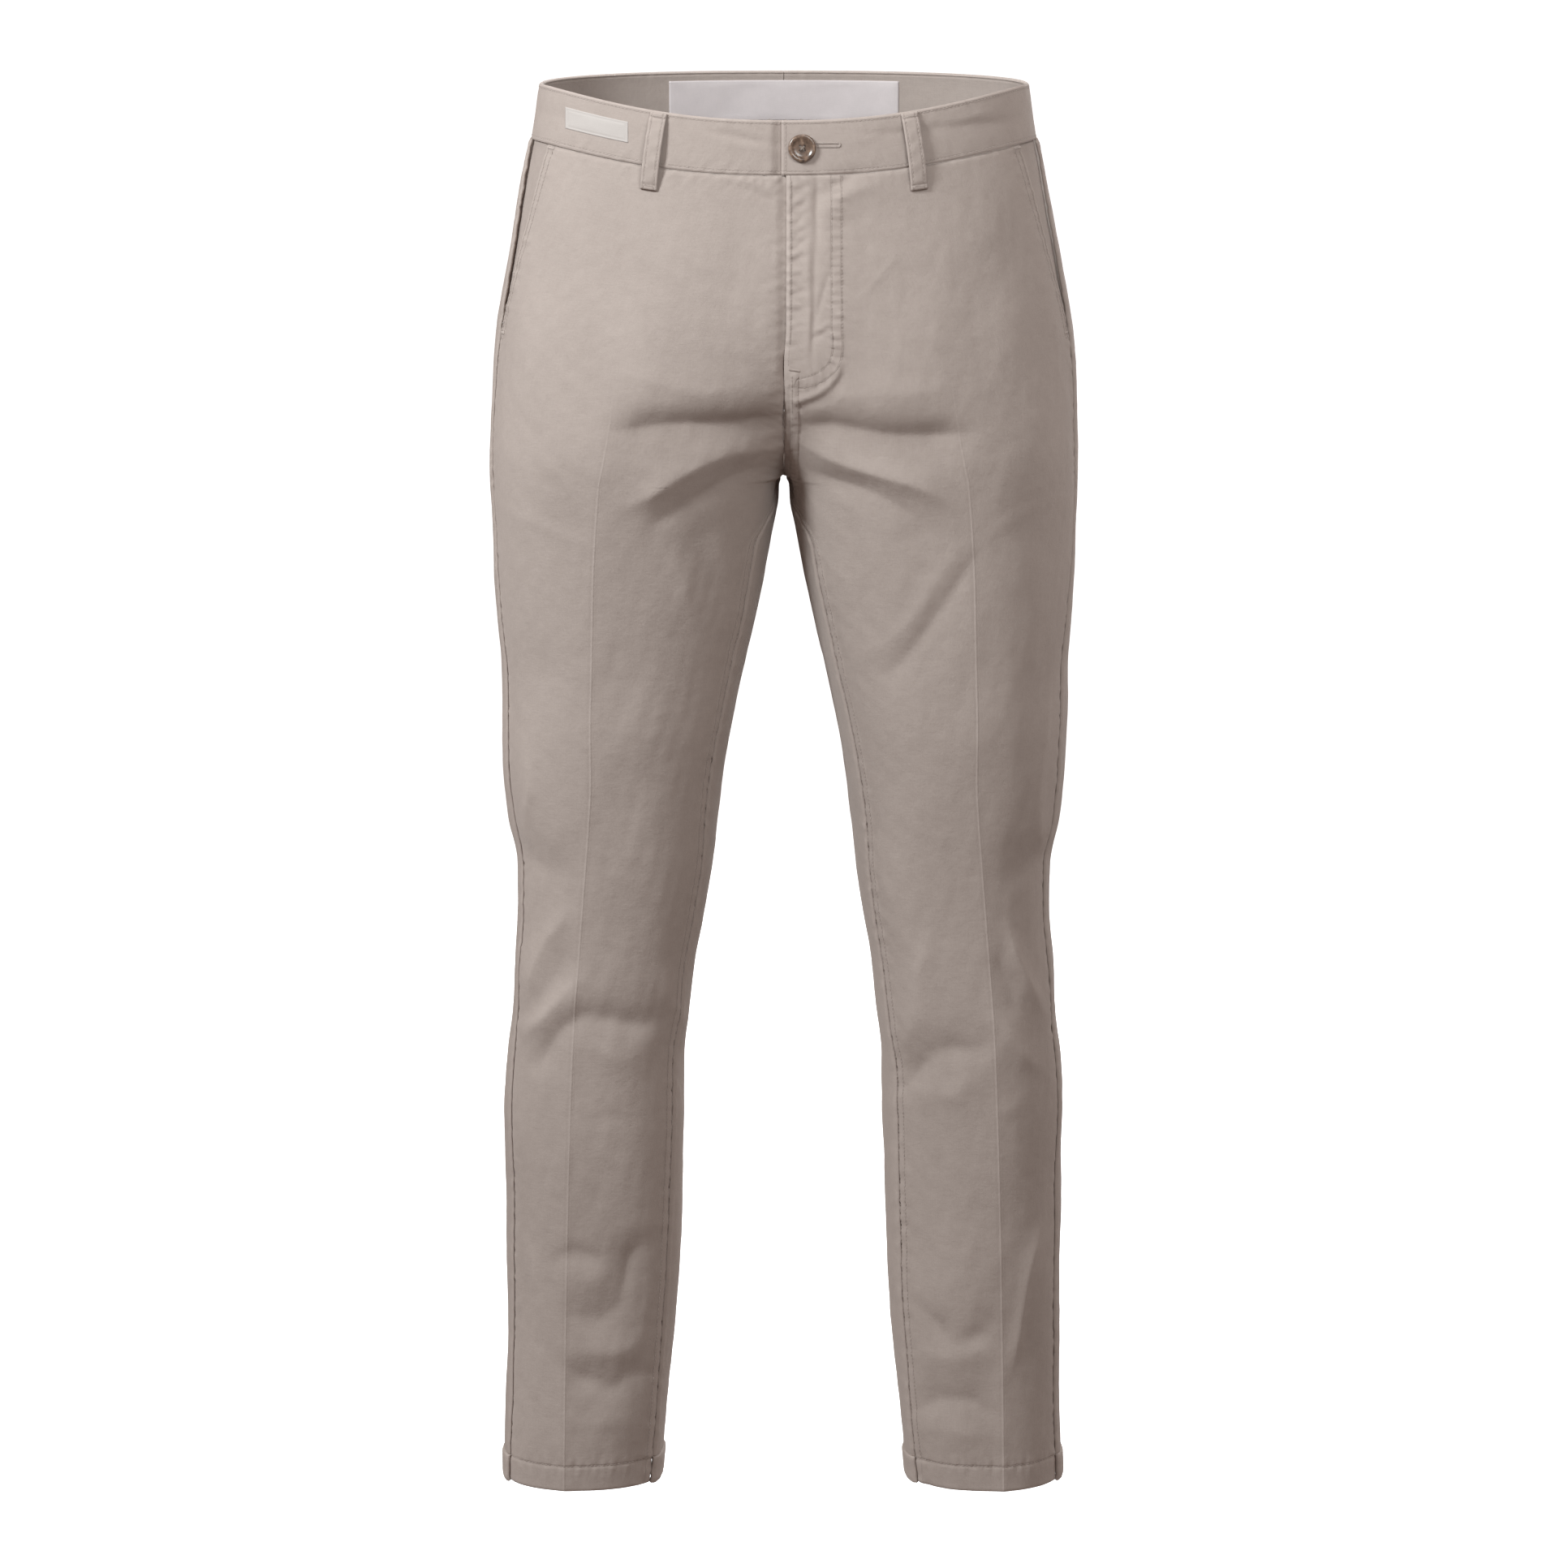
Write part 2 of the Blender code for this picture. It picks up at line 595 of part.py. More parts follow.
def build_button(collection, cutters):
    """A rimmed button with four holes, flat on the overlapping waistband."""
    rim = BUTTON_RADIUS
    profile = (
        (0.0, 0.0),
        (0.55 * rim, 0.0),
        (0.92 * rim, 0.12 * BUTTON_THICK),
        (rim, 0.45 * BUTTON_THICK),
        (0.94 * rim, 0.90 * BUTTON_THICK),
        (0.82 * rim, BUTTON_THICK),
        (0.68 * rim, 0.80 * BUTTON_THICK),
        (0.40 * rim, 0.66 * BUTTON_THICK),
        (0.0, 0.66 * BUTTON_THICK),
    )
    shape = bmesh.new()
    corners = [shape.verts.new((radius, 0, height)) for radius, height in reversed(profile)]
    for start, end in zip(corners[:-1], corners[1:]):
        shape.edges.new((start, end))
    mesh = bpy.data.meshes.new("waist_button")
    shape.to_mesh(mesh)
    shape.free()
    button = add_object("waist_button", mesh, "button", collection)
    screw = button.modifiers.new("turned", "SCREW")
    screw.steps = 28
    screw.render_steps = 28
    screw.use_merge_vertices = True
    screw.merge_threshold = 0.00005
    weld = button.modifiers.new("middle", "WELD")
    weld.merge_threshold = 0.00005
    for turn in range(4):
        corner = Vector((BUTTON_HOLE_OFFSET, 0, 0))
        corner.rotate(Matrix.Rotation(math.radians(45 + 90 * turn), 3, "Z"))
        hole = bmesh.new()
        bmesh.ops.create_cone(
            hole,
            cap_ends=True,
            segments=12,
            radius1=BUTTON_HOLE_RADIUS,
            radius2=BUTTON_HOLE_RADIUS,
            depth=4 * BUTTON_THICK,
            matrix=Matrix.Translation(corner),
        )
        hole_mesh = bpy.data.meshes.new(f"button_hole_{turn}")
        hole.to_mesh(hole_mesh)
        hole.free()
        cutter = bpy.data.objects.new(f"button_hole_{turn}", hole_mesh)
        cutter.hide_render = True
        cutter.display_type = "WIRE"
        cutter.parent = button
        cutters.objects.link(cutter)
        cut = button.modifiers.new(f"hole_{turn}", "BOOLEAN")
        cut.operation = "DIFFERENCE"
        cut.solver = "EXACT"
        cut.object = cutter
    down = np.array(BUTTON_DOWN)
    angle = angle_at(BUTTON_X, down, "front")
    seat = Vector(cloth_point(1, angle, down, -BUTTON_STAND))
    facing = Vector(base_normal(1, angle, down))
    button.rotation_euler = facing.to_track_quat("Z", "Y").to_euler()
    button.location = seat
    return button


def build():
    clear_scene()
    chinos = new_collection("chinos")
    cutters = new_collection("cutters")
    build_back(-1, "back_right", chinos)
    build_back(1, "back_left", chinos)
    build_front(1, "front_left", left_reach, chinos)
    build_front(-1, "front_right", right_reach, chinos)
    build_pocket_facing(1, "pocket_facing_left", chinos)
    build_pocket_facing(-1, "pocket_facing_right", chinos)
    build_band(1, "waistband_left", chinos)
    build_band(-1, "waistband_right", chinos)
    build_loop("belt_loop_front_left", LOOP_FRONT, "front", chinos)
    build_loop("belt_loop_front_right", -LOOP_FRONT, "front", chinos)
    build_loop("belt_loop_side_left", LOOP_SIDE, "back", chinos)
    build_loop("belt_loop_side_right", -LOOP_SIDE, "back", chinos)
    build_loop("belt_loop_back", 0.0, "back", chinos)
    build_label("label_inner", LABEL_INNER, "back", BAND_CLOTH + GAP, chinos)
    build_label("label_outer", LABEL_OUTER, "front", -GAP - LABEL_CLOTH, chinos)
    build_button(chinos, cutters)


build()
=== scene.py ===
# Taupe chinos, filled out as if worn: cloth with its creases, seams, stitches, button and labels.
# Metres, +Z up, front towards -Y, wearer's left at +X. "down" runs from the waist edge to the hem.
# "side" is 1 for the wearer's left and -1 for the right; a ring is one leg's half of a level section.
import math

import bmesh
import bpy
import numpy as np
from mathutils import Matrix, Vector
from mathutils.bvhtree import BVHTree


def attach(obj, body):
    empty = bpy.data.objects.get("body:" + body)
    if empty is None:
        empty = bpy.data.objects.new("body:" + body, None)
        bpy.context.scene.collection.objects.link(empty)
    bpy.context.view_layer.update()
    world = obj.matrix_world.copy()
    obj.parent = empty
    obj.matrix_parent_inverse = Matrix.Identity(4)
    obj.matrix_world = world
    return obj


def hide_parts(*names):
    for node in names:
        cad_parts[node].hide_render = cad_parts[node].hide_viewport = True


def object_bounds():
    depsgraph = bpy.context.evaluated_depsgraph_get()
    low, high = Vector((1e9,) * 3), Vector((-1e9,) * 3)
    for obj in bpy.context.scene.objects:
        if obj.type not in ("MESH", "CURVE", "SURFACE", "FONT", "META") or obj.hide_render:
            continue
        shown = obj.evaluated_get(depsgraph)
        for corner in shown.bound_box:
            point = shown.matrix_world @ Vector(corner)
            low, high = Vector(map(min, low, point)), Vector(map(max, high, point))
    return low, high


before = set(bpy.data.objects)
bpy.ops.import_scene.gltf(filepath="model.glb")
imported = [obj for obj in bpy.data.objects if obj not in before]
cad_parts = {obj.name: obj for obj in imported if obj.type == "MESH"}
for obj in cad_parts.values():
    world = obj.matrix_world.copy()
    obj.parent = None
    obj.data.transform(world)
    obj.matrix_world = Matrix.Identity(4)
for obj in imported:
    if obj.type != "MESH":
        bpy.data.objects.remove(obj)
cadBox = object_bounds()
print("frame loaded")

# The cut, in the same sizes as the solids

cut = {
    "wall": 0.0015,
    "bandWall": 0.0026,
    "gap": 0.0003,
    "bandHeight": 0.0405,
    "forkDown": 0.287,
    "hemDown": 1.054,
    "hemTurn": 0.019,
    "frontDip": 0.0235,
    "backLift": 0.006,
    "tiltEnd": 0.260,
    "squareness": 2.3,
    "sideShare": 0.35,
    "outseam": ((0.0, 3.0), (0.18, 11.0), (0.30, 15.0), (0.46, 24.0), (1.06, 25.0)),
    "inseamDegrees": 31.0,
    "inseamTurn": 0.050,
    "pocketReach": 0.037,
    "pocketEnd": 0.185,
    "flyEdge": 0.0015,
    "flyUnder": 0.010,
    "flyEnd": 0.216,
    "flyRamp": 0.008,
    "flyJoin": 0.020,
    "flyTaper": 0.030,
    "forkBlunt": 0.0031,
    "bluntOver": (0.0025, 0.025),
    "bluntFrom": 2.2,
    "backCreaseOut": 0.008,
}

# down, outer side, inner side, front, back, front crease
sections = (
    (0.000, 0.1795, -0.1795, -0.106, 0.106, 0.088),
    (0.028, 0.1833, -0.1810, -0.108, 0.109, 0.092),
    (0.058, 0.1895, -0.1800, -0.111, 0.113, 0.096),
    (0.118, 0.2010, -0.1600, -0.117, 0.126, 0.106),
    (0.178, 0.2110, -0.1120, -0.119, 0.135, 0.116),
    (0.214, 0.2142, -0.0730, -0.118, 0.137, 0.122),
    (0.250, 0.2155, -0.0310, -0.115, 0.134, 0.127),
    (0.272, 0.2158, -0.0090, -0.112, 0.128, 0.131),
    (0.287, 0.2158, 0.00015, -0.109, 0.123, 0.134),
    (0.298, 0.2155, 0.0041, -0.107, 0.119, 0.135),
    (0.323, 0.2145, 0.0086, -0.103, 0.112, 0.137),
    (0.359, 0.2135, 0.0145, -0.098, 0.103, 0.139),
    (0.396, 0.2120, 0.0230, -0.093, 0.098, 0.140),
    (0.432, 0.2095, 0.0320, -0.089, 0.094, 0.141),
    (0.469, 0.2090, 0.0405, -0.086, 0.090, 0.142),
    (0.506, 0.2085, 0.0470, -0.081, 0.085, 0.142),
    (0.543, 0.2050, 0.0510, -0.077, 0.081, 0.144),
    (0.580, 0.1980, 0.0548, -0.073, 0.076, 0.147),
    (0.617, 0.1988, 0.0603, -0.070, 0.074, 0.150),
    (0.654, 0.2022, 0.0673, -0.068, 0.073, 0.153),
    (0.692, 0.2043, 0.0722, -0.066, 0.072, 0.156),
    (0.729, 0.2080, 0.0764, -0.064, 0.071, 0.158),
    (0.780, 0.2102, 0.0775, -0.062, 0.071, 0.160),
    (0.881, 0.2100, 0.0802, -0.059, 0.068, 0.163),
    (0.982, 0.2095, 0.0890, -0.056, 0.062, 0.165),
    (1.054, 0.2107, 0.0958, -0.055, 0.058, 0.166),
)

# Creases seen square on, each from one end to the other: how far the middle bows aside, the half
# width, how far the cloth stands out (in, where negative), and how much wider its left side is.
frontCreases = (
    # x1, z1, x2, z2, bow, width, rise, lean
    # crotch folds, wearer's right: a deep trough, then the crest under it
    (-0.002, -0.238, -0.122, -0.245, 0.002, 0.0145, -0.0072, 1.40),
    (-0.004, -0.257, -0.112, -0.301, -0.006, 0.0105, 0.0044, 0.78),
    (-0.012, -0.276, -0.096, -0.318, -0.005, 0.0080, -0.0026, 1.0),
    (-0.020, -0.216, -0.120, -0.206, 0.004, 0.0130, 0.0014, 1.0),
    # crotch folds, wearer's left
    (0.010, -0.246, 0.134, -0.251, 0.001, 0.0145, -0.0068, 0.72),
    (0.014, -0.261, 0.122, -0.301, 0.004, 0.0105, 0.0044, 1.28),
    (0.018, -0.278, 0.104, -0.315, 0.004, 0.0075, -0.0020, 1.0),
    (0.030, -0.220, 0.118, -0.212, -0.004, 0.0130, 0.0014, 1.0),
    # thighs
    (-0.070, -0.310, -0.042, -0.385, 0.004, 0.0170, -0.0030, 1.0),
    (-0.046, -0.322, -0.036, -0.400, 0.002, 0.0085, 0.0020, 1.0),
    (-0.084, -0.330, -0.066, -0.390, 0.002, 0.0090, 0.0014, 1.0),
    (-0.190, -0.300, -0.178, -0.420, 0.004, 0.0160, 0.0012, 1.0),
    (0.138, -0.336, 0.074, -0.428, 0.005, 0.0060, -0.0020, 1.3),
    (0.128, -0.330, 0.060, -0.418, 0.005, 0.0080, 0.0013, 1.0),
    (0.048, -0.306, 0.052, -0.362, 0.002, 0.0070, -0.0013, 1.0),
    (0.060, -0.350, 0.052, -0.392, 0.001, 0.0080, -0.0011, 1.0),
    (0.112, -0.318, 0.078, -0.326, 0.001, 0.0065, -0.0009, 1.0),
    (0.118, -0.398, 0.094, -0.436, 0.001, 0.0060, -0.0010, 1.0),
    (0.180, -0.330, 0.186, -0.440, 0.003, 0.0160, 0.0012, 1.0),
    (-0.207, -0.309, -0.130, -0.339, 0.004, 0.0034, 0.0006, 1.0),
    (0.207, -0.299, 0.140, -0.331, -0.006, 0.0034, 0.0006, 1.0),
    # above the knees
    (-0.190, -0.480, -0.192, -0.548, 0.003, 0.0060, 0.0020, 1.0),
    (0.196, -0.446, 0.191, -0.564, -0.004, 0.0060, 0.0022, 1.0),
    (-0.196, -0.560, -0.162, -0.588, 0.003, 0.0110, -0.0018, 1.2),
    (0.196, -0.566, 0.162, -0.590, -0.003, 0.0110, -0.0018, 0.8),
    # knee, wearer's right
    (-0.194, -0.680, -0.160, -0.604, 0.003, 0.0085, 0.0032, 1.2),
    (-0.190, -0.694, -0.158, -0.632, 0.001, 0.0095, -0.0019, 1.0),
    (-0.196, -0.708, -0.148, -0.658, 0.002, 0.0105, 0.0041, 0.8),
    (-0.188, -0.728, -0.146, -0.682, 0.003, 0.0095, -0.0043, 1.0),
    (-0.152, -0.684, -0.088, -0.690, -0.005, 0.0110, -0.0041, 1.2),
    (-0.146, -0.712, -0.104, -0.716, -0.003, 0.0140, 0.0019, 1.0),
    (-0.091, -0.652, -0.077, -0.708, 0.001, 0.0060, 0.0027, 1.0),
    # shin, wearer's right
    (-0.146, -0.764, -0.112, -0.766, 0.001, 0.0045, -0.0009, 1.0),
    (-0.172, -0.873, -0.132, -0.873, 0.003, 0.0090, -0.0028, 0.8),
    (-0.166, -0.886, -0.128, -0.890, 0.001, 0.0110, 0.0019, 1.0),
    (-0.099, -0.858, -0.124, -0.912, -0.006, 0.0130, -0.0035, 0.9),
    (-0.118, -0.912, -0.164, -0.920, 0.002, 0.0120, -0.0032, 0.9),
    (-0.160, -0.948, -0.104, -0.936, -0.004, 0.0130, 0.0030, 1.0),
    (-0.166, -0.958, -0.130, -0.976, 0.001, 0.0095, -0.0034, 1.2),
    (-0.134, -0.975, -0.102, -0.964, 0.001, 0.0095, -0.0031, 1.2),
    (-0.150, -1.000, -0.106, -1.004, 0.002, 0.0130, 0.0019, 1.0),
    (-0.194, -0.868, -0.178, -0.936, 0.001, 0.0050, 0.0018, 1.0),
    # knee, wearer's left
    (0.104, -0.630, 0.090, -0.712, 0.003, 0.0100, 0.0028, 1.0),
    (0.083, -0.748, 0.110, -0.713, -0.003, 0.0095, -0.0038, 1.2),
    (0.106, -0.715, 0.156, -0.703, -0.003, 0.0105, -0.0030, 1.2),
    (0.100, -0.752, 0.146, -0.732, -0.003, 0.0130, 0.0022, 1.0),
    (0.166, -0.618, 0.197, -0.696, -0.003, 0.0060, 0.0030, 1.0),
    (0.160, -0.640, 0.176, -0.686, -0.002, 0.0085, -0.0024, 1.0),
    (0.157, -0.690, 0.194, -0.732, -0.001, 0.0075, 0.0022, 1.0),
    (0.162, -0.764, 0.180, -0.746, 0.000, 0.0070, 0.0014, 1.0),
    # shin, wearer's left
    (0.146, -0.848, 0.156, -0.888, 0.001, 0.0100, 0.0014, 1.0),
    (0.104, -0.912, 0.131, -0.943, -0.001, 0.0095, -0.0024, 1.0),
    (0.131, -0.943, 0.162, -0.916, -0.001, 0.0095, -0.0024, 1.0),
    (0.104, -0.952, 0.162, -0.946, 0.002, 0.0120, 0.0020, 1.0),
    (0.101, -0.994, 0.132, -0.981, 0.002, 0.0090, -0.0031, 1.3),
    (0.130, -0.981, 0.162, -0.996, 0.002, 0.0090, -0.0028, 1.3),
    (0.108, -1.008, 0.156, -1.012, 0.003, 0.0120, 0.0019, 1.0),
    (0.194, -0.850, 0.171, -0.962, -0.002, 0.0058, 0.0024, 1.0),
    # pulls beside the top of the fly
    (-0.042, -0.064, -0.003, -0.076, 0.001, 0.0035, 0.0010, 1.0),
    (-0.034, -0.070, -0.002, -0.084, 0.001, 0.0035, -0.0008, 1.0),
    # in the fly
    (0.0232, -0.060, 0.0222, -0.122, 0.001, 0.0034, -0.0019, 1.0),
    (0.0175, -0.112, 0.0180, -0.190, 0.000, 0.0030, 0.0009, 1.0),
    (0.0218, -0.112, 0.0208, -0.200, 0.000, 0.0020, -0.0009, 1.0),
    (0.0205, -0.1795, 0.0335, -0.1715, 0.000, 0.0016, -0.0012, 1.0),
    (0.0210, -0.1750, 0.0340, -0.1670, 0.000, 0.0022, 0.0007, 1.0),
    (0.0215, -0.168, 0.0345, -0.126, 0.000, 0.0018, -0.0008, 1.0),
    (0.0050, -0.079, 0.0180, -0.069, 0.000, 0.0024, -0.0009, 1.0),
    (0.0050, -0.089, 0.0185, -0.078, 0.000, 0.0026, -0.0012, 1.0),
    (0.0050, -0.099, 0.0185, -0.088, 0.000, 0.0026, -0.0012, 1.0),
    (0.0050, -0.109, 0.0180, -0.098, 0.000, 0.0024, -0.0012, 1.0),
    (0.0050, -0.117, 0.0170, -0.107, 0.000, 0.0020, -0.0011, 1.0),
    (0.0050, -0.126, 0.0140, -0.118, 0.000, 0.0020, -0.0008, 1.0),
    (0.0240, -0.077, 0.0640, -0.058, 0.002, 0.0050, -0.0018, 1.0),
    (0.0280, -0.088, 0.0720, -0.066, 0.002, 0.0070, 0.0014, 1.0),
    (0.0300, -0.102, 0.0600, -0.092, 0.001, 0.0060, -0.0007, 1.0),
    (0.0540, -0.152, 0.0860, -0.116, 0.001, 0.0022, 0.0005, 1.0),
)
backCreases = (
    # under the seat
    (-0.010, -0.288, -0.150, -0.318, 0.010, 0.0090, -0.0050, 1.3),
    (0.010, -0.288, 0.152, -0.322, -0.010, 0.0090, -0.0048, 0.8),
    (-0.016, -0.302, -0.140, -0.338, 0.008, 0.0090, 0.0030, 1.0),
    (0.016, -0.302, 0.142, -0.342, -0.008, 0.0090, 0.0028, 1.0),
    (-0.020, -0.318, -0.122, -0.374, 0.004, 0.0080, -0.0034, 1.2),
    (0.022, -0.320, 0.118, -0.380, -0.004, 0.0080, -0.0034, 0.8),
    (-0.034, -0.352, -0.130, -0.410, 0.002, 0.0080, 0.0018, 1.0),
    (0.036, -0.356, 0.126, -0.418, -0.002, 0.0080, 0.0016, 1.0),
    (-0.004, -0.120, -0.060, -0.190, 0.003, 0.0140, 0.0012, 1.0),
    (0.004, -0.126, 0.064, -0.200, -0.003, 0.0140, 0.0012, 1.0),
    # waist darts
    (-0.074, -0.040, -0.078, -0.128, 0.000, 0.0024, -0.0018, 1.0),
    (0.074, -0.040, 0.078, -0.128, 0.000, 0.0024, -0.0018, 1.0),
    # backs of the knees
    (-0.070, -0.572, -0.186, -0.604, 0.006, 0.0070, -0.0044, 1.3),
    (-0.074, -0.598, -0.180, -0.628, 0.005, 0.0070, 0.0034, 1.0),
    (-0.080, -0.640, -0.186, -0.606, -0.004, 0.0065, -0.0040, 0.8),
    (-0.084, -0.672, -0.188, -0.640, -0.005, 0.0070, -0.0044, 1.2),
    (-0.084, -0.656, -0.176, -0.626, -0.004, 0.0070, 0.0030, 1.0),
    (-0.090, -0.700, -0.180, -0.676, -0.003, 0.0080, 0.0024, 1.0),
    (0.072, -0.578, 0.188, -0.600, -0.006, 0.0070, -0.0042, 0.8),
    (0.076, -0.604, 0.182, -0.622, -0.005, 0.0070, 0.0032, 1.0),
    (0.082, -0.646, 0.186, -0.610, 0.004, 0.0065, -0.0040, 1.2),
    (0.086, -0.680, 0.188, -0.648, 0.006, 0.0070, -0.0044, 0.8),
    (0.086, -0.662, 0.180, -0.632, 0.004, 0.0070, 0.0030, 1.0),
    (0.094, -0.708, 0.184, -0.684, 0.003, 0.0080, 0.0022, 1.0),
    # calves and heels
    (-0.106, -0.800, -0.176, -0.842, 0.003, 0.0080, 0.0020, 1.0),
    (-0.108, -0.858, -0.184, -0.902, 0.004, 0.0075, -0.0034, 1.2),
    (-0.112, -0.930, -0.188, -0.908, -0.003, 0.0080, 0.0024, 1.0),
    (-0.112, -0.968, -0.180, -0.986, 0.004, 0.0070, -0.0028, 1.0),
    (0.104, -0.806, 0.172, -0.780, -0.003, 0.0080, 0.0020, 1.0),
    (0.108, -0.872, 0.182, -0.840, -0.004, 0.0075, -0.0034, 0.8),
    (0.110, -0.914, 0.186, -0.938, 0.003, 0.0080, 0.0024, 1.0),
    (0.114, -0.990, 0.182, -0.966, -0.004, 0.0070, -0.0028, 1.0),
)


def smoothThrough(knots, values, at):  # a curve through the knots that never overshoots them
    knots = np.asarray(knots, float)
    values = np.asarray(values, float)
    step = np.diff(knots)
    slope = np.diff(values) / step
    tangent = np.zeros(len(knots))
    sameWay = slope[:-1] * slope[1:] > 0
    before = slope[:-1][sameWay]
    after = slope[1:][sameWay]
    tangent[1:-1][sameWay] = 2 * before * after / (before + after)
    tangent[0] = slope[0]
    tangent[-1] = slope[-1]
    at = np.clip(np.asarray(at, float), knots[0], knots[-1])
    index = np.clip(np.searchsorted(knots, at, side="right") - 1, 0, len(step) - 1)
    width = step[index]
    t = (at - knots[index]) / width
    curve = values[index] * (1 + 2 * t) * (1 - t) ** 2 + tangent[index] * width * t * (1 - t) ** 2
    return curve + values[index + 1] * t**2 * (3 - 2 * t) + tangent[index + 1] * width * t**2 * (t - 1)


def ease(start, end, value):
    t = np.clip((np.asarray(value, float) - start) / (end - start), 0, 1)
    return t * t * (3 - 2 * t)


def easeDown(start, end, value):
    return 1 - ease(start, end, value)


def bell(distance, width=0.0008):
    return np.exp(-((distance / width) ** 2))


sectionTable = np.array(sections)
hemFold = cut["hemDown"] - cut["hemTurn"]


def section(column, down):
    return smoothThrough(sectionTable[:, 0], sectionTable[:, column], down)


def ring(down):  # centre, half width, front depth, back depth, middle line
    outer, inner, front, back = (section(column, down) for column in (1, 2, 3, 4))
    middle = cut["sideShare"] * (front + back)
    return (outer + inner) / 2, (outer - inner) / 2, middle - front, back - middle, middle


def angleAt(across, down, face):  # the ring's angle at a distance from the middle plane
    centre, half, front, back, _ = ring(down)
    depth = front if face == "front" else back
    along = (across - centre) / half
    power = cut["squareness"]
    rise = depth * np.maximum(0, 1 - np.minimum(1, abs(along)) ** power) ** (1 / power)
    angle = np.arctan2(rise, np.clip(along, -1, 1) * half)
    return angle if face == "front" else -angle


def basePoint(side, angle, down):  # the smooth surface, before any crease
    centre, half, front, back, middle = ring(down)
    power = cut["squareness"]
    depth = np.where(np.sin(angle) > 0, front, back)
    radius = (abs(np.cos(angle) / half) ** power + abs(np.sin(angle) / depth) ** power) ** (-1 / power)
    share = np.clip(radius * np.sin(angle) / depth, -1, 1)
    tilt = cut["backLift"] * np.maximum(-share, 0) ** 1.2 - cut["frontDip"] * np.maximum(share, 0) ** 3
    first, last = (cut["forkDown"] + part for part in cut["bluntOver"])
    apart = cut["forkBlunt"] * ease(cut["forkDown"], first, down) * easeDown(first, last, down)
    x = side * (centre + radius * np.cos(angle) + apart * ease(cut["bluntFrom"], math.pi, abs(angle)))
    y = middle - radius * np.sin(angle)
    z = -down + tilt * easeDown(0, cut["tiltEnd"], down)
    return np.stack(np.broadcast_arrays(x, y, z), -1)


def baseNormal(side, angle, down):
    step = 1e-4
    turn = basePoint(side, angle + step, down) - basePoint(side, angle - step, down)
    fall = basePoint(side, angle, down + step) - basePoint(side, angle, down - step)
    normal = np.asarray(side, float)[..., None] * np.cross(turn, fall)
    return normal / np.linalg.norm(normal, axis=-1, keepdims=True)


# How a crease fades at its ends, how sharp it is, and how much it wanders and swells on its way
creaseForm = {"fade": 0.018, "sharpness": 1.45, "wander": 0.16, "swell": 0.12}


def creasesAt(table, x, z):
    rise = np.zeros(np.shape(x))
    for index, (x1, z1, x2, z2, bow, width, height, lean) in enumerate(table):
        length = math.hypot(x2 - x1, z2 - z1)
        along = ((x - x1) * (x2 - x1) + (z - z1) * (z2 - z1)) / length**2
        across = ((z - z1) * (x2 - x1) - (x - x1) * (z2 - z1)) / length
        reach = min(0.5, creaseForm["fade"] / length)
        near = (along > -0.8 * reach) & (along < 1 + 0.8 * reach) & (abs(across) < abs(bow) + 5 * width)
        if not near.any():
            continue
        t = along[near]
        inside = np.clip(t, 0, 1)
        aside = across[near] - 4 * bow * inside * (1 - inside)
        aside = aside - creaseForm["wander"] * width * np.sin(t * 7.0 + index * 1.7)
        spread = np.where(aside > 0, width * lean, width / lean)
        fade = ease(-0.7 * reach, 1.3 * reach, t) * easeDown(1 - 1.5 * reach, 1 + 0.7 * reach, t)
        fade = fade * (1 + creaseForm["swell"] * np.sin(t * 6.0 + index * 2.3))
        rise[near] += height * fade * np.exp(-(abs(aside / spread) ** creaseForm["sharpness"]))
    return rise


class Ripple:  # smooth seeded unevenness, the same each run
    def __init__(self, seed, length, stretch, height):
        maker = np.random.default_rng(seed)
        way = maker.normal(size=(20, 3))
        way /= np.linalg.norm(way, axis=1, keepdims=True)
        pace = 2 * math.pi / (length * maker.uniform(0.7, 1.6, (20, 1)))
        self.wave = way * pace / np.array(stretch)
        self.phase = maker.uniform(0, 2 * math.pi, 20)
        self.height = height

    def at(self, point):
        total = np.zeros(point.shape[:-1])
        for wave, phase in zip(self.wave, self.phase):
            total += np.cos(point @ wave + phase)
        return self.height * total / math.sqrt(10)


broadRipple = Ripple(3, 0.120, (1, 1, 1.6), 0.0007)
softRipple = Ripple(5, 0.042, (1, 1, 1.5), 0.00032)
smallRipple = Ripple(11, 0.014, (1, 1, 1.3), 0.00010)

# The pressed crease down each leg: levels where it starts and is full, its heights, its half widths
press = {
    "start": 0.19,
    "full": 0.32,
    "thigh": 0.0009,
    "shin": 0.0018,
    "hem": 0.0046,
    "width": 0.010,
    "hemWidth": 0.020,
    "round": 0.0007,
    "kneeOver": (0.52, 0.68),
    "hemOver": (0.93, 1.03),
}
# Distances from rows and creases are cut off here, where nothing of them shows
farAway = 0.012
# How far a face has turned when its creases start and are full; where the cloth is calm under the band
faceTurn = (0.08, 0.45)
calmOver = (0.035, 0.10)
calmShare = 0.3


def pressedCrease(across, crease, down):
    low = ease(*press["hemOver"], down)
    rise = press["thigh"] + (press["shin"] - press["thigh"]) * ease(*press["kneeOver"], down)
    rise = rise + (press["hem"] - press["shin"]) * low
    width = press["width"] + (press["hemWidth"] - press["width"]) * low
    aside = np.sqrt((across - crease) ** 2 + press["round"] ** 2) / width
    return rise * np.exp(-aside) * ease(press["start"], press["full"], down)


def creaseLine(down, back):  # how far out the pressed crease lies
    return ring(down)[0] + cut["backCreaseOut"] if back else section(5, down)


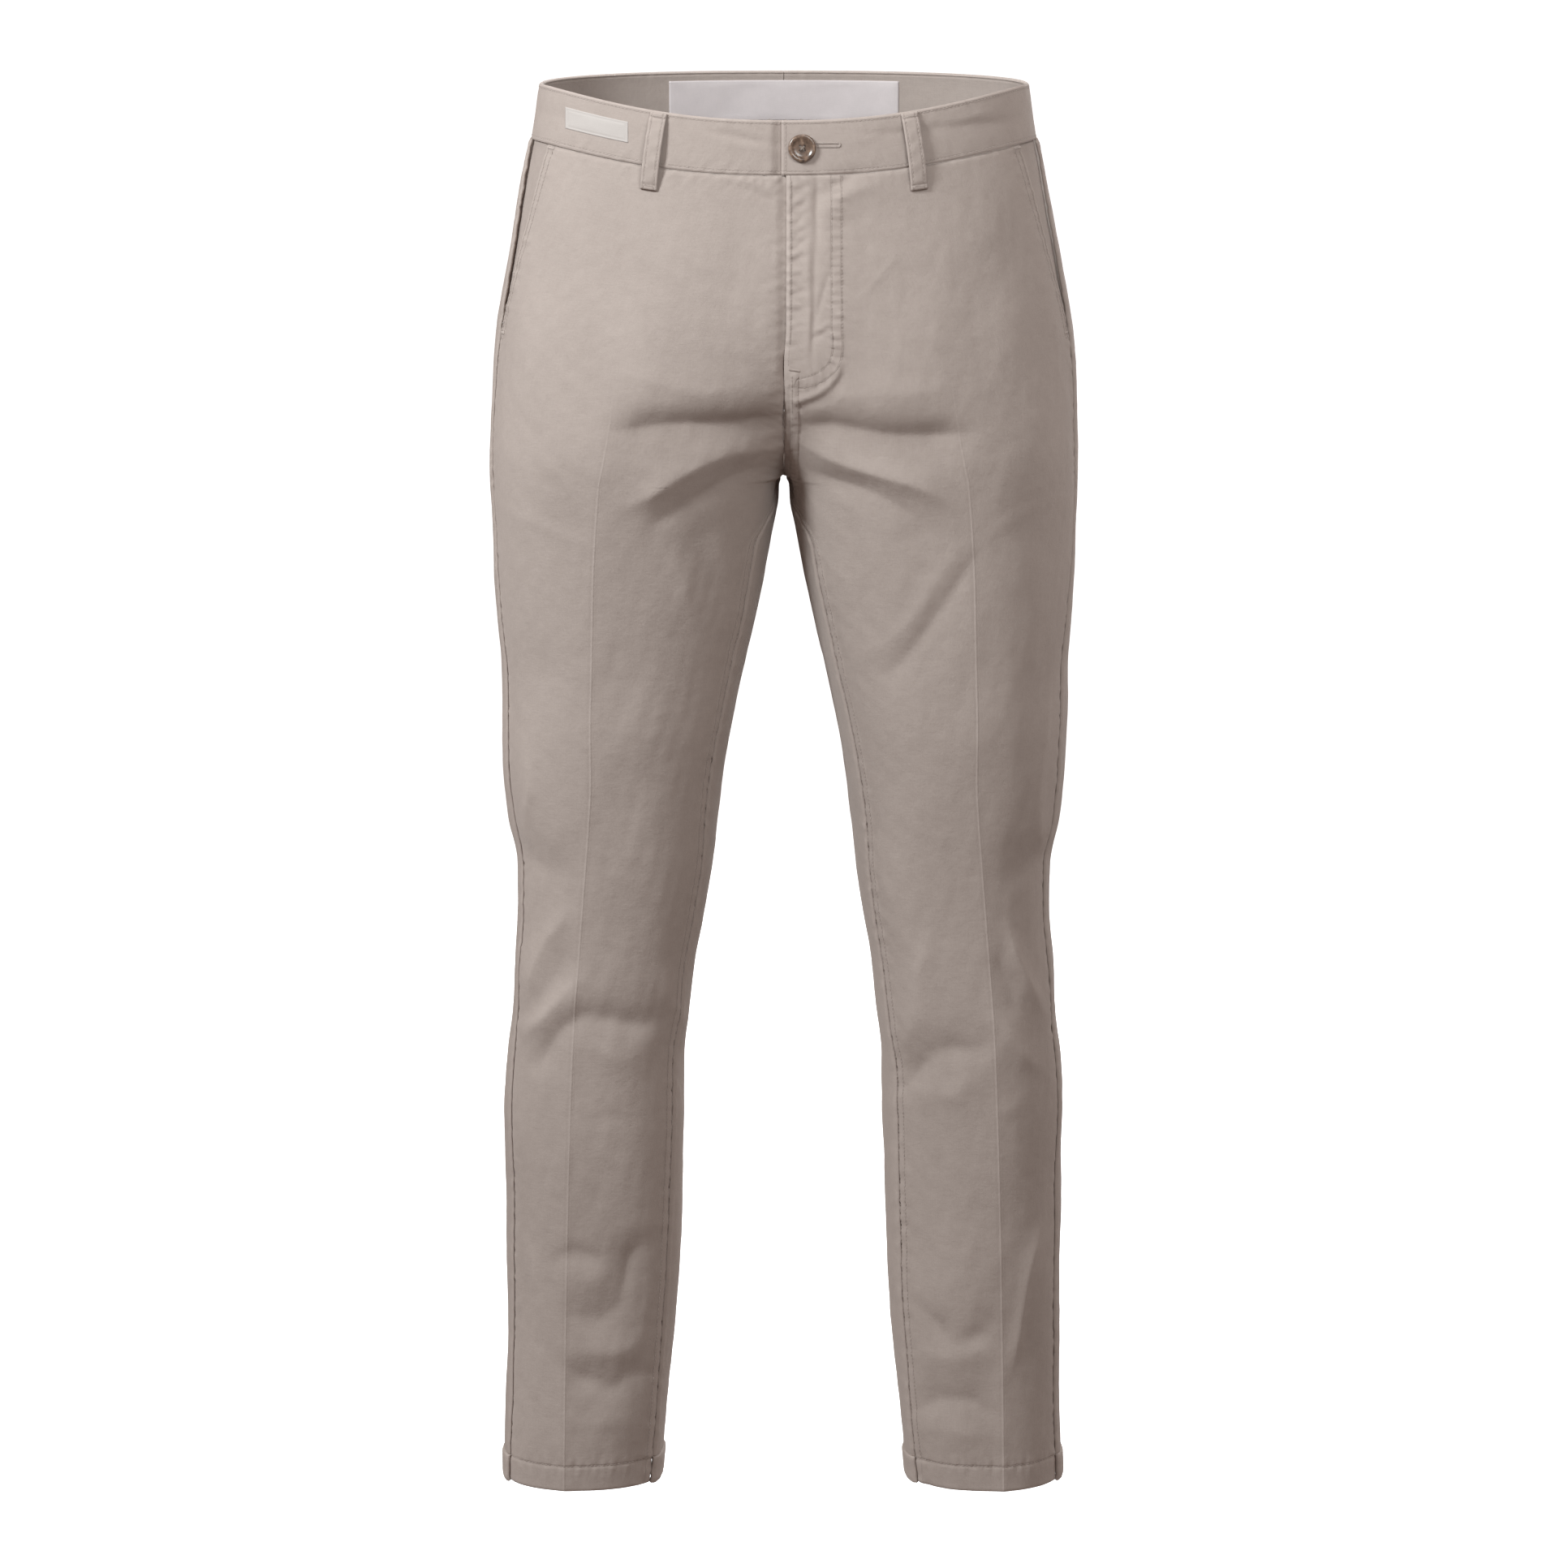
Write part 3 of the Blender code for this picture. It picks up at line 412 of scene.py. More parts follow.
def clothPoint(side, angle, down, depth=0.0):  # the creased surface, and how far the creases raise it
    point = basePoint(side, angle, down)
    normal = baseNormal(side, angle, down)
    x = point[..., 0]
    z = point[..., 2]
    rise = 0.0
    for facing, table, back in ((-1, frontCreases, False), (1, backCreases, True)):
        creased = creasesAt(table, x, z) + pressedCrease(side * x, creaseLine(down, back), down)
        rise = rise + ease(*faceTurn, facing * normal[..., 1]) * creased
    calm = ease(*calmOver, down + 0 * angle)
    rise += calm * (broadRipple.at(point) + softRipple.at(point))
    rise += (calmShare + (1 - calmShare) * calm) * smallRipple.at(point)
    return point + normal * (rise - depth)[..., None], rise


# Seams, as angles on the ring


def outseam(down):
    table = np.array(cut["outseam"])
    return np.radians(smoothThrough(table[:, 0], table[:, 1], down))


def inseam(down):
    turned = ease(cut["forkDown"], cut["forkDown"] + cut["inseamTurn"], down)
    return math.radians(cut["inseamDegrees"]) * turned


def halfGap(down):
    return cut["gap"] / 2 / ring(down)[1]


def flyOpen(down):
    end = cut["flyEnd"] - cut["flyJoin"] - 0.002
    return easeDown(end - cut["flyTaper"], end, down)


def frontOuterEdge(down):
    left = np.clip((cut["pocketEnd"] - down) / (cut["pocketEnd"] - cut["bandHeight"]), 0, 1)
    return outseam(down) + cut["pocketReach"] * left / ring(down)[1] + halfGap(down)


def frontInnerEdge(side, down):
    across = cut["flyEdge"] if side > 0 else -cut["flyUnder"]
    reach = cut["gap"] / 2 + (across - cut["gap"] / 2) * flyOpen(down)
    rise = angleAt(reach, down, "front")
    return np.minimum(rise, math.pi - inseam(down) - halfGap(down))


def backInnerEdge(down):
    rise = angleAt(cut["gap"] / 2, down, "back")
    seam = -math.pi - inseam(down) + halfGap(down)
    return np.where(down < cut["forkDown"], np.maximum(rise, -math.pi + halfGap(down)), seam)


# Mesh helpers


def linked(name, data):
    made = bpy.data.objects.new(name, data)
    bpy.context.scene.collection.objects.link(made)
    return made


def aimed(thing, place, aim):
    thing.location = place
    thing.rotation_euler = (Vector(aim) - Vector(place)).to_track_quat("-Z", "Y").to_euler()


def meshOf(name, shape):
    mesh = bpy.data.meshes.new(name)
    shape.to_mesh(mesh)
    shape.free()
    return mesh


def newObject(name, mesh, material, replaced=()):
    piece = linked(f"dressed_{name}", mesh)
    mesh.materials.append(material)
    mesh.shade_smooth()
    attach(piece, "root")
    if replaced:
        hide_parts(*replaced)
    return piece


def spun(name, profile, merge, inwards=False):
    # A round form turned from its profile: distance from the axis, then height.
    shape = bmesh.new()
    corners = [shape.verts.new((radius, 0, height)) for radius, height in profile]
    edges = [shape.edges.new(pair) for pair in zip(corners[:-1], corners[1:])]
    bmesh.ops.spin(shape, geom=corners + edges, cent=(0, 0, 0), axis=(0, 0, 1), angle=math.tau, steps=72)
    bmesh.ops.remove_doubles(shape, verts=shape.verts[:], dist=merge)
    bmesh.ops.recalc_face_normals(shape, faces=shape.faces[:])
    if inwards:
        bmesh.ops.reverse_faces(shape, faces=shape.faces[:])
    return meshOf(name, shape)


def gridMesh(name, points, across, along, values):
    # A grid sheet whose corners are moved onto the surface, with its UV map in metres.
    size = points.shape[:2]
    rows, columns = size[0] - 1, size[1] - 1
    shape = bmesh.new()
    bmesh.ops.create_grid(shape, x_segments=columns, y_segments=rows, size=0.5)
    mesh = meshOf(name, shape)
    flat = np.zeros(len(mesh.vertices) * 3)
    mesh.vertices.foreach_get("co", flat)
    flat = flat.reshape(-1, 3)
    row = np.rint((0.5 - flat[:, 1]) * rows).astype(int)
    column = np.rint((flat[:, 0] + 0.5) * columns).astype(int)
    mesh.vertices.foreach_set("co", points[row, column].ravel())
    corner = np.zeros(len(mesh.loops), int)
    mesh.loops.foreach_get("vertex_index", corner)
    layer = mesh.uv_layers.new(name="cloth")
    uv = np.stack([np.broadcast_to(part, size)[row, column] for part in (across, along)], -1)[corner]
    layer.data.foreach_set("uv", uv.ravel())
    for key, value in values.items():
        attribute = mesh.attributes.new(key, "FLOAT", "POINT")
        attribute.data.foreach_set("value", np.broadcast_to(value, size)[row, column].astype(np.float32))
    mesh.update()
    return mesh


def facingOut(mesh, outward):
    # Turns the sheet over where its faces point away from the outward direction at its middle.
    count = len(mesh.polygons)
    normals = np.zeros(count * 3)
    mesh.polygons.foreach_get("normal", normals)
    if np.sum(normals.reshape(-1, 3)[count // 2] * outward) < 0:
        mesh.flip_normals()


def thickened(piece, wall, fold=None):
    # Gives the sheet its wall on the inner side, twice as thick below a fold.
    solid = piece.modifiers.new("wall", "SOLIDIFY")
    solid.thickness = wall
    solid.offset = -1
    if fold is not None:
        solid.thickness = 2 * wall
        group = piece.vertex_groups.new(name="wall")
        group.add(range(len(piece.data.vertices)), 0.5, "REPLACE")
        group.add([vertex.index for vertex in piece.data.vertices if vertex.co.z < fold], 1.0, "REPLACE")
        solid.vertex_group = "wall"


def surfaceTree(mesh):
    spot = np.zeros(len(mesh.vertices) * 3)
    mesh.vertices.foreach_get("co", spot)
    corners = np.zeros(len(mesh.loops), int)
    mesh.loops.foreach_get("vertex_index", corners)
    return BVHTree.FromPolygons(spot.reshape(-1, 3).tolist(), corners.reshape(-1, 4).tolist())


def arcGrid(side, downs, first, last, count, crowdFirst, crowdLast):
    # Angles along each row by length: close together beside both edges, then even.
    share = np.linspace(0, 1, 200)
    angle = first[:, None] + (last - first)[:, None] * share
    point = basePoint(side, angle, downs[:, None])
    length = np.zeros(angle.shape)
    length[:, 1:] = np.cumsum(np.linalg.norm(np.diff(point, axis=1), axis=-1), axis=1)
    width = length[:, -1]
    even = np.linspace(0, 1, count + 1)
    result = []
    place = []
    for index in range(len(downs)):
        squeeze = min(1.0, width[index] / (1.6 * (crowdFirst[-1] + crowdLast[-1])))
        start = squeeze * np.array(crowdFirst)
        end = width[index] - squeeze * np.array(crowdLast)[::-1]
        inside = start[-1] + (end[0] - start[-1]) * even
        spots = np.concatenate([[0.0], start[:-1], inside, end[1:], [width[index]]])
        place.append(spots)
        result.append(np.interp(spots, length[index], angle[index]))
    return np.array(result), np.array(place), width


# Materials

cloth = {
    "light": (0.490, 0.412, 0.368),
    "dark": (0.330, 0.268, 0.236),
    "twillPitch": 0.00062,
    "thread": (0.460, 0.382, 0.338),
    "buttonThread": (0.30, 0.24, 0.20),
    "threadShades": (0.76, 1.14),
}
# Where each brown of the mottled horn lies in its cloud
horn = ((0.30, (0.048, 0.030, 0.021)), (0.50, (0.15, 0.095, 0.066)), (0.72, (0.34, 0.225, 0.160)))


class Nodes:  # adds shader nodes to one tree; each call gives back output sockets
    def __init__(self, tree):
        self.tree = tree

    def add(self, kind, inputs, **settings):
        made = self.tree.nodes.new(f"ShaderNode{kind}")
        for key, value in settings.items():
            setattr(made, key, value)
        for key, value in inputs.items():
            if isinstance(value, bpy.types.NodeSocket):
                self.tree.links.new(value, made.inputs[key])
            else:
                made.inputs[key].default_value = value
        return made.outputs

    def link(self, socket, target):
        self.tree.links.new(socket, target)

    def math(self, operation, a, b=0.0, c=0.0, clamp=False):
        return self.add("Math", {0: a, 1: b, 2: c}, operation=operation, use_clamp=clamp)[0]

    def total(self, *parts):  # the sum of sockets, each times its weight
        result = 0.0
        for socket, weight in parts:
            result = self.math("MULTIPLY_ADD", socket, weight, result)
        return result

    def near(self, distance, slope):  # 1 at no distance, falling evenly to 0
        size = self.math("ABSOLUTE", distance)
        return self.math("MAXIMUM", self.math("MULTIPLY_ADD", size, -slope, 1.0), 0.0)

    def vector(self, operation, inputs):
        return self.add("VectorMath", inputs, operation=operation)[0]

    def attribute(self, name):
        return self.add("Attribute", {}, attribute_name=name)["Fac"]

    def noise(self, place, scale, detail, roughness=0.5, distortion=0.0, **settings):
        inputs = {"Vector": place, "Scale": scale, "Detail": detail}
        inputs.update({"Roughness": roughness, "Distortion": distortion})
        return self.add("TexNoise", inputs, **settings)

    def bump(self, height, strength, distance, under=None, **settings):
        inputs = {"Strength": strength, "Distance": distance, "Height": height}
        if under is not None:
            inputs["Normal"] = under
        return self.add("Bump", inputs, **settings)[0]

    def mix(self, share, a, b):
        return self.add("Mix", {"Factor": share, 6: (*a, 1.0), 7: (*b, 1.0)}, data_type="RGBA")[2]

    def weave(self, pitch, uneven):
        uv = self.add("UVMap", {}, uv_map="cloth")[0]
        inputs = {"Vector": uv, "Pitch": pitch, "Uneven": uneven}
        return self.add("Group", inputs, node_tree=weaveGroup)

    def place(self):
        return self.add("TexCoord", {})["Object"]


def newGroup(name, inputs, outputs):
    tree = bpy.data.node_groups.new(name, "ShaderNodeTree")
    for label, kind, value in inputs:
        socket = tree.interface.new_socket(label, in_out="INPUT", socket_type=f"NodeSocket{kind}")
        if value is not None:
            socket.default_value = value
    for label in outputs:
        tree.interface.new_socket(label, in_out="OUTPUT", socket_type="NodeSocketFloat")
    return Nodes(tree), tree.nodes.new("NodeGroupInput").outputs, tree.nodes.new("NodeGroupOutput").inputs


def newMaterial(name, constants):
    material = bpy.data.materials.new(name)
    material.use_nodes = True
    sockets = material.node_tree.nodes["Principled BSDF"].inputs
    for key, value in constants.items():
        sockets[key].default_value = value
    return material, Nodes(material.node_tree), sockets


def makeWeaveGroup():
    # Twill: fine slanting ribs with uneven yarns. Gives a height and a fleck mask.
    nodes, given, result = newGroup(
        "twillWeave",
        (("Vector", "Vector", None), ("Pitch", "Float", 0.0006), ("Uneven", "Float", 0.5)),
        ("Height", "Fleck"),
    )
    sized = nodes.vector("SCALE", {0: given["Vector"], "Scale": nodes.math("DIVIDE", 1.0, given["Pitch"])})
    wobble = nodes.noise(sized, 0.13, 2.0, noise_dimensions="2D")["Color"]
    shifted = nodes.vector("MULTIPLY_ADD", {0: wobble, 1: (0.7, 0.7, 0.0), 2: sized})
    rib, cross = (
        nodes.add("TexWave", {"Vector": shifted, "Scale": scale}, wave_type="BANDS", bands_direction=way)["Fac"]
        for way, scale in (("DIAGONAL", 0.444), ("X", 0.628))
    )
    yarn, weft = (
        nodes.noise(nodes.vector("MULTIPLY", {0: sized, 1: stretch}), 0.9, 2.0, noise_dimensions="2D")["Fac"]
        for stretch in ((1.0, 0.06, 1.0), (0.06, 1.0, 1.0))
    )
    yarns = nodes.math("ADD", yarn, weft)
    ribs = nodes.total((rib, 0.7), (cross, 0.3))
    nodes.link(nodes.math("MULTIPLY_ADD", yarns, given["Uneven"], ribs), result["Height"])
    nodes.link(nodes.math("MULTIPLY", yarns, 0.5), result["Fleck"])
    return nodes.tree


def makeRowGroup():
    # Where stitched rows run: 1 on a row, fading within half a millimetre beside it.
    nodes, given, result = newGroup(
        "stitchedRows", (("Pair", "Float", 4.0), ("Single", "Float", 0.01)), ("Groove",)
    )
    pair = nodes.math("SUBTRACT", nodes.math("ABSOLUTE", given["Pair"]), 1.0)
    near = nodes.math("MAXIMUM", nodes.near(pair, 4.0), nodes.near(given["Single"], 1300.0))
    nodes.link(near, result["Groove"])
    return nodes.tree


def makeCreaseLightGroup():
    # The fine line along a pressed crease, a ridge in the bump and a painted highlight in the colour, and
    # painted shade beside it, below the hips.
    nodes, given, result = newGroup(
        "pressedCreaseLight", (("Aside", "Float", 0.01), ("Level", "Float", 0.0)), ("Line", "Side")
    )
    below = nodes.add("MapRange", {"Value": given["Level"], 1: -0.21, 2: -0.33, 3: 0.0, 4: 1.0})[0]
    beside = nodes.math("SUBTRACT", nodes.math("ABSOLUTE", given["Aside"]), 0.0022)
    nodes.link(nodes.math("MULTIPLY", nodes.near(given["Aside"], 900.0), below), result["Line"])
    nodes.link(nodes.math("MULTIPLY", nodes.near(beside, 700.0), below), result["Side"])
    return nodes.tree


weaveGroup = makeWeaveGroup()
rowGroup = makeRowGroup()
creaseLightGroup = makeCreaseLightGroup()


def makeCloth(name, inside=0.0):
    constants = {
        "Sheen Weight": 0.16,
        "Sheen Roughness": 0.45,
        "Sheen Tint": (1.0, 0.95, 0.90, 1.0),
        "Specular IOR Level": 0.20,
    }
    material, nodes, sockets = newMaterial(name, constants)
    weave = nodes.weave(cloth["twillPitch"], 0.5)
    rowsNear = {"Pair": nodes.attribute("pair"), "Single": nodes.attribute("single")}
    rowGrooveShade = nodes.add("Group", rowsNear, node_tree=rowGroup)["Groove"]
    place = nodes.place()
    level = nodes.add("SeparateXYZ", {0: place})["Z"]
    pressed = {"Aside": nodes.attribute("pressed"), "Level": level}
    creaseLightAndShade = nodes.add("Group", pressed, node_tree=creaseLightGroup)
    grain = nodes.noise(place, 520.0, 3.0, 0.7)["Fac"]
    shade = nodes.total(
        (weave["Fleck"], 0.42),
        (nodes.noise(place, 95.0, 4.0, 0.65)["Fac"], 0.30),
        (grain, 0.26),
        (nodes.noise(place, 7.0, 3.0)["Fac"], 0.26),
        # painted light on raised relief, painted shade in troughs and sunk seams
        (nodes.attribute("reliefShade"), 45.0),
        (nodes.attribute("worn"), 0.24),
        # painted highlight along the pressed crease, painted shade beside it
        (creaseLightAndShade["Line"], 0.26),
        (creaseLightAndShade["Side"], -0.12),
        # painted shade along the stitched rows, where their grooves sink
        (rowGrooveShade, -0.22),
    )
    # inside lowers the whole shade of a copy of the cloth: painted shade
    shade = nodes.math("SUBTRACT", shade, 0.12 + inside, clamp=True)
    nodes.link(nodes.mix(shade, cloth["dark"], cloth["light"]), sockets["Base Color"])
    nodes.link(nodes.math("MULTIPLY_ADD", weave["Fleck"], 0.12, 0.76), sockets["Roughness"])
    fine = nodes.bump(nodes.total((weave["Height"], 1.0), (grain, 0.6)), 0.55, 0.00018)
    soft = nodes.bump(nodes.noise(place, 130.0, 3.0, 0.55)["Fac"], 0.45, 0.0009, fine)
    sunk = nodes.bump(rowGrooveShade, 0.6, 0.0004, soft, invert=True)
    nodes.link(nodes.bump(creaseLightAndShade["Line"], 0.7, 0.0005, sunk), sockets["Normal"])
    return material


def makeLabelCloth(name, light, dark):
    material, nodes, sockets = newMaterial(name, {"Roughness": 0.62, "Sheen Weight": 0.2})
    weave = nodes.weave(0.00034, 0.3)
    shade = nodes.total((nodes.noise(nodes.place(), 60.0, 4.0)["Fac"], 0.7), (weave["Fleck"], 0.5))
    shade = nodes.math("SUBTRACT", shade, 0.1, clamp=True)
    nodes.link(nodes.mix(shade, dark, light), sockets["Base Color"])
    nodes.link(nodes.bump(weave["Height"], 0.4, 0.0001), sockets["Normal"])
    return material


def makeThread(name, colour):
    material, nodes, sockets = newMaterial(name, {"Roughness": 0.55, "Sheen Weight": 0.2})
    place = nodes.place()
    twist = nodes.noise(place, 2600.0, 2.0)["Fac"]
    shade = nodes.total((twist, 0.5), (nodes.noise(place, 300.0, 1.0)["Fac"], 0.5))
    deep, pale = (tuple(min(1.0, part * tone) for part in colour) for tone in cloth["threadShades"])
    nodes.link(nodes.mix(shade, deep, pale), sockets["Base Color"])
    nodes.link(nodes.bump(twist, 0.5, 0.00008), sockets["Normal"])
    return material


def makeHorn(name):
    constants = {"Roughness": 0.28, "Coat Weight": 0.35, "Coat Roughness": 0.15}
    material, nodes, sockets = newMaterial(name, constants)
    place = nodes.place()
    cloud = nodes.noise(place, 170.0, 4.0, distortion=1.2)["Fac"]
    streak = nodes.noise(place, 600.0, 3.0, 0.6)["Fac"]
    ramp = nodes.add("ValToRGB", {"Fac": nodes.total((cloud, 0.75), (streak, 0.25))})["Color"]
    stops = ramp.node.color_ramp.elements
    stops.new(horn[1][0])
    for stop, (at, colour) in zip(stops, horn):
        stop.position = at
        stop.color = (*colour, 1.0)
    nodes.link(ramp, sockets["Base Color"])
    nodes.link(nodes.bump(streak, 0.15, 0.00005), sockets["Normal"])
    return material


clothMaterial = makeCloth("taupeTwill")
# the pocket facings get a darker copy of the same cloth: painted shade where they sit inside the pocket mouth
facingMaterial = makeCloth("taupeTwillShaded", 0.06)
threadMaterial = makeThread("tonalThread", cloth["thread"])
buttonThread = makeThread("buttonThread", cloth["buttonThread"])
print("materials made")

# Seams and stitched rows, as relief on the cloth

fly = {
    "lip": 0.0036,
    "half": 0.0036,
    "ladder": 0.0065,
    "low": -0.235,
    # the middle of the double row, then the lower edge of the facing under it: x, z
    "row": (
        (0.0376, -0.058),
        (0.0378, -0.120),
        (0.0380, -0.172),
        (0.0388, -0.184),
        (0.0368, -0.1955),
        (0.0305, -0.2035),
        (0.0220, -0.2085),
        (0.0125, -0.2115),
    ),
    "facing": ((0.0440, -0.1960), (0.0400, -0.2055), (0.0325, -0.2150), (0.0235, -0.2215), (0.0115, -0.2265)),
    "strip": (0.0048, 0.0108),
    "stripTop": -0.2040,
}
# Rows of stitches: distances from the edges, and the hem's own level
rows = {
    "pocket": (0.0036, 0.0086),
    "inseam": (0.0018, 0.0078),
    "plain": 0.0012,
    "seat": 0.0040,
    "band": 0.0027,
    "bandEnd": 0.0032,
    "hem": hemFold - 0.0008,
}

# How far each seam's puckers reach beside it, and how far they stand out
puckers = {
    "fly": (0.010, 0.00030),
    "flyLip": (0.011, 0.00050),
    "flyUnder": (0.013, 0.00040),
    "pocket": (0.009, 0.00050),
    "seam": (0.010, 0.00052),
    "seat": (0.010, 0.00040),
    "hem": (0.008, 0.00034),
    "waist": (0.012, 0.00042),
    "bandTop": (0.007, 0.00026),
    "bandLow": (0.010, 0.00042),
}


def rounded(corners, count=260):  # the corners as one smooth path
    corners = np.array(corners, float)
    length = travelled(corners)
    at = np.linspace(0, length[-1], count)
    return np.stack([smoothThrough(length, corners[:, axis], at) for axis in range(corners.shape[1])], -1)


def heading(path):
    step = np.gradient(path, axis=0)
    return step / np.linalg.norm(step, axis=1, keepdims=True)


def travelled(path):
    return np.concatenate([[0], np.cumsum(np.linalg.norm(np.diff(path, axis=0), axis=1))])


def besidePath(x, z, corners):
    # Distance from a path (positive on its outer side) and length along it.
    path = rounded(corners)
    spot = np.stack([x, z], -1).reshape(-1, 2)
    best = np.full(len(spot), 9.0)
    pick = np.zeros(len(spot), int)
    for index, point in enumerate(path):
        away = np.hypot(*(spot - point).T)
        nearer = away < best
        best[nearer] = away[nearer]
        pick[nearer] = index
    gap = spot - path[pick]
    way = heading(path)[pick]
    sign = np.where(way[:, 0] * gap[:, 1] - way[:, 1] * gap[:, 0] > 0, 1.0, -1.0)
    return (sign * best).reshape(np.shape(x)), travelled(path)[pick].reshape(np.shape(x))


def pucker(kind, seed, along, distance):
    # Uneven little waves that a row of stitches draws up, fading away from the seam.
    reach, size = puckers[kind]
    maker = np.random.default_rng(seed)
    total = np.zeros(np.broadcast(along, distance).shape)
    for period in (0.0062, 0.0085, 0.012, 0.018):
        phase = maker.uniform(0, 2 * math.pi)
        slant = maker.uniform(-0.6, 0.6)
        total = total + np.sin(2 * math.pi * (along + slant * distance) / period + phase)
    gate = 0.6 + 0.4 * np.sin(along * 41 + seed) * np.sin(along * 17 + 2 * seed)
    return size * 0.5 * total * gate * bell(distance, reach)


def lipped(distance, row, height=0.0005):
    # A turned edge: rounded off at the very edge, raised as far as its row of stitches.
    raised = height * easeDown(row - 0.0006, row + 0.0014, distance)
    return raised - 0.0010 * bell(distance) - 0.0003 * bell(distance - row)


def flyRelief(x, z):
    row, along = besidePath(x, z, fly["row"])
    half = fly["half"]
    wobble = 0.9 * np.sin(along * 190) + 0.6 * np.sin(along * 71)
    ladder = np.sin(2 * math.pi * along / fly["ladder"] + wobble) * easeDown(0.170, 0.186, along)
    total = 0.0005 * easeDown(half - 0.0005, half + 0.0018, row) + 0.00036 * ladder * bell(row, 0.0048)
    total = total + pucker("fly", 72, along, row) - 0.00016 * (bell(row - half) + bell(row + half))
    step, _ = besidePath(x, z, fly["facing"])
    beside = ease(0.006, 0.012, x) * easeDown(0.040, 0.046, x) * ease(-0.240, -0.232, z)
    beside = beside * easeDown(-0.200, -0.190, z)
    ridge = 0.0011 * bell(step + 0.0022, 0.0026)
    ridge = ridge - 0.0009 * ease(-0.0005, 0.0012, step) * easeDown(0.004, 0.012, step)
    return (total + beside * ridge) * ease(fly["low"], fly["low"] + 0.010, z) * (x > fly["lip"])


def stripRelief(x, z):
    first, last = fly["strip"]
    below = easeDown(fly["stripTop"] - 0.001, fly["stripTop"] + 0.001, z)
    raised = ease(first - 0.0006, first + 0.0004, x) * easeDown(last - 0.0004, last + 0.0006, x)
    ribs = 0.00016 * np.sin(2 * math.pi * z / 0.0042 + 3 * np.sin(z * 90))
    edges = -0.0006 * (bell(x - first, 0.0009) + bell(x - last, 0.0009))
    return below * (raised * (0.0006 + ribs) + edges)


def endsRelief(seed, down, place):  # the hem's fold and edge, and the pull of the waistband
    fold = down - hemFold
    edge = cut["hemDown"] - down
    hem = 0.0002 * ease(-0.001, 0.002, fold) - 0.0003 * bell(fold, 0.0012) - 0.0006 * bell(edge, 0.0009)
    hem = hem + pucker("hem", 21, place, abs(fold))
    gap = down - cut["bandHeight"]
    return hem - 0.0009 * bell(gap, 0.0016) + pucker("waist", seed, place, gap)


def seamRelief(seed, down, distance, last, strength=1.0):
    # A felled seam: a sunk line, then a raised strip up to its outer row of stitches.
    strip = 0.0006 * ease(0.0006, 0.0018, distance) * easeDown(last - 0.0004, last + 0.0020, distance)
    drawn = pucker("seam", seed, down, abs(distance - last * 0.6))
    return strength * (strip - 0.0011 * bell(distance, 0.0012) + drawn)


def doubleRow(where, distance, pair):  # -1 and 1 on the two rows of stitches
    low, high = pair
    return np.where(where, distance - (low + high) / 2, farAway) / ((high - low) / 2)


# Fronts and backs

panel = {
    "forkZone": 0.030,
    "frontRows": (112, 36, 224),
    "backRows": (76, 26, 184),
    "frontColumns": 74,
    "backColumns": 84,
    "beside": (0.0, 0.0006, 0.0014, 0.0026),
    "wornEdge": 0.005,
    "wornHem": 0.004,
}
frontCrowd = tuple(0.0004 + 0.0012 * index for index in range(36))
seamCrowd = (0.0008, 0.0018, 0.0030, 0.0044, 0.0060, 0.0078, 0.0098)


def panelDowns(hipRows, forkRows, legRows):
    # Rows crowd towards the fork from both sides, where the inner edge turns under, and at the hem.
    top = cut["bandHeight"] + cut["gap"]
    fork = cut["forkDown"]
    zone = panel["forkZone"]
    near = zone * np.linspace(1, 0, forkRows) ** 2
    hip = np.linspace(top, fork - zone, hipRows)
    leg = np.linspace(fork + 0.4 * zone, cut["hemDown"], legRows)
    beside = np.array(panel["beside"])
    clear = beside[-1] + 0.0008
    leg = leg[(abs(leg - hemFold) > clear) & (leg < cut["hemDown"] - clear)]
    hem = [hemFold - beside[1:], hemFold + beside, cut["hemDown"] - beside]
    return np.sort(np.concatenate([hip[:-1], fork - near, fork + 0.4 * near[-2:0:-1], leg, *hem]))


def clothSheet(name, point, place, down, normal, values, wall, material, fold=None):
    # One dressed sheet on its own solid, turned face out, with its wall and its surface for sewing.
    mesh = gridMesh(name, point, place, -down, values)
    facingOut(mesh, normal)
    piece = newObject(name, mesh, material, [name])
    thickened(piece, wall, fold)
    return {"piece": piece, "point": point, "tree": surfaceTree(mesh)}


# reliefShade carries painted light and shade for the cloth: positive where the cloth stands out, negative where
# it sinks
def trims(reliefShade, worn, pair=4.0, single=farAway, pressed=farAway):
    return {
        "reliefShade": reliefShade,
        "worn": np.clip(worn, 0, 1),
        "pair": np.clip(pair, -4, 4),
        "single": np.clip(single, -farAway, farAway),
        "pressed": np.clip(pressed, -farAway, farAway),
    }


def middleOf(grid):
    return grid[grid.shape[0] // 2, grid.shape[1] // 2]


def dressPanel(name, side, downs, angle, place, width, relief, pair, single, back=False):
    down = downs[:, None]
    point, rise = clothPoint(side, angle, down)
    normal = baseNormal(side, angle, down)
    point = point + normal * relief[..., None]
    edge = np.minimum(place, width[:, None] - place)
    worn = 0.6 * bell(edge, panel["wornEdge"]) + bell(down - cut["hemDown"], panel["wornHem"])
    # the relief, kept as painted light on ridges and painted shade in troughs and grooves
    reliefShade = np.clip(rise + 1.5 * relief, -0.006, 0.006)
    aside = side * point[..., 0] - creaseLine(down, back)
    values = trims(reliefShade, worn, pair, single, aside)
    sheet = clothSheet(
        name, point, place, down, middleOf(normal), values, cut["wall"], clothMaterial, fold=-hemFold
    )
    return {**sheet, "place": place, "width": width, "downs": downs}


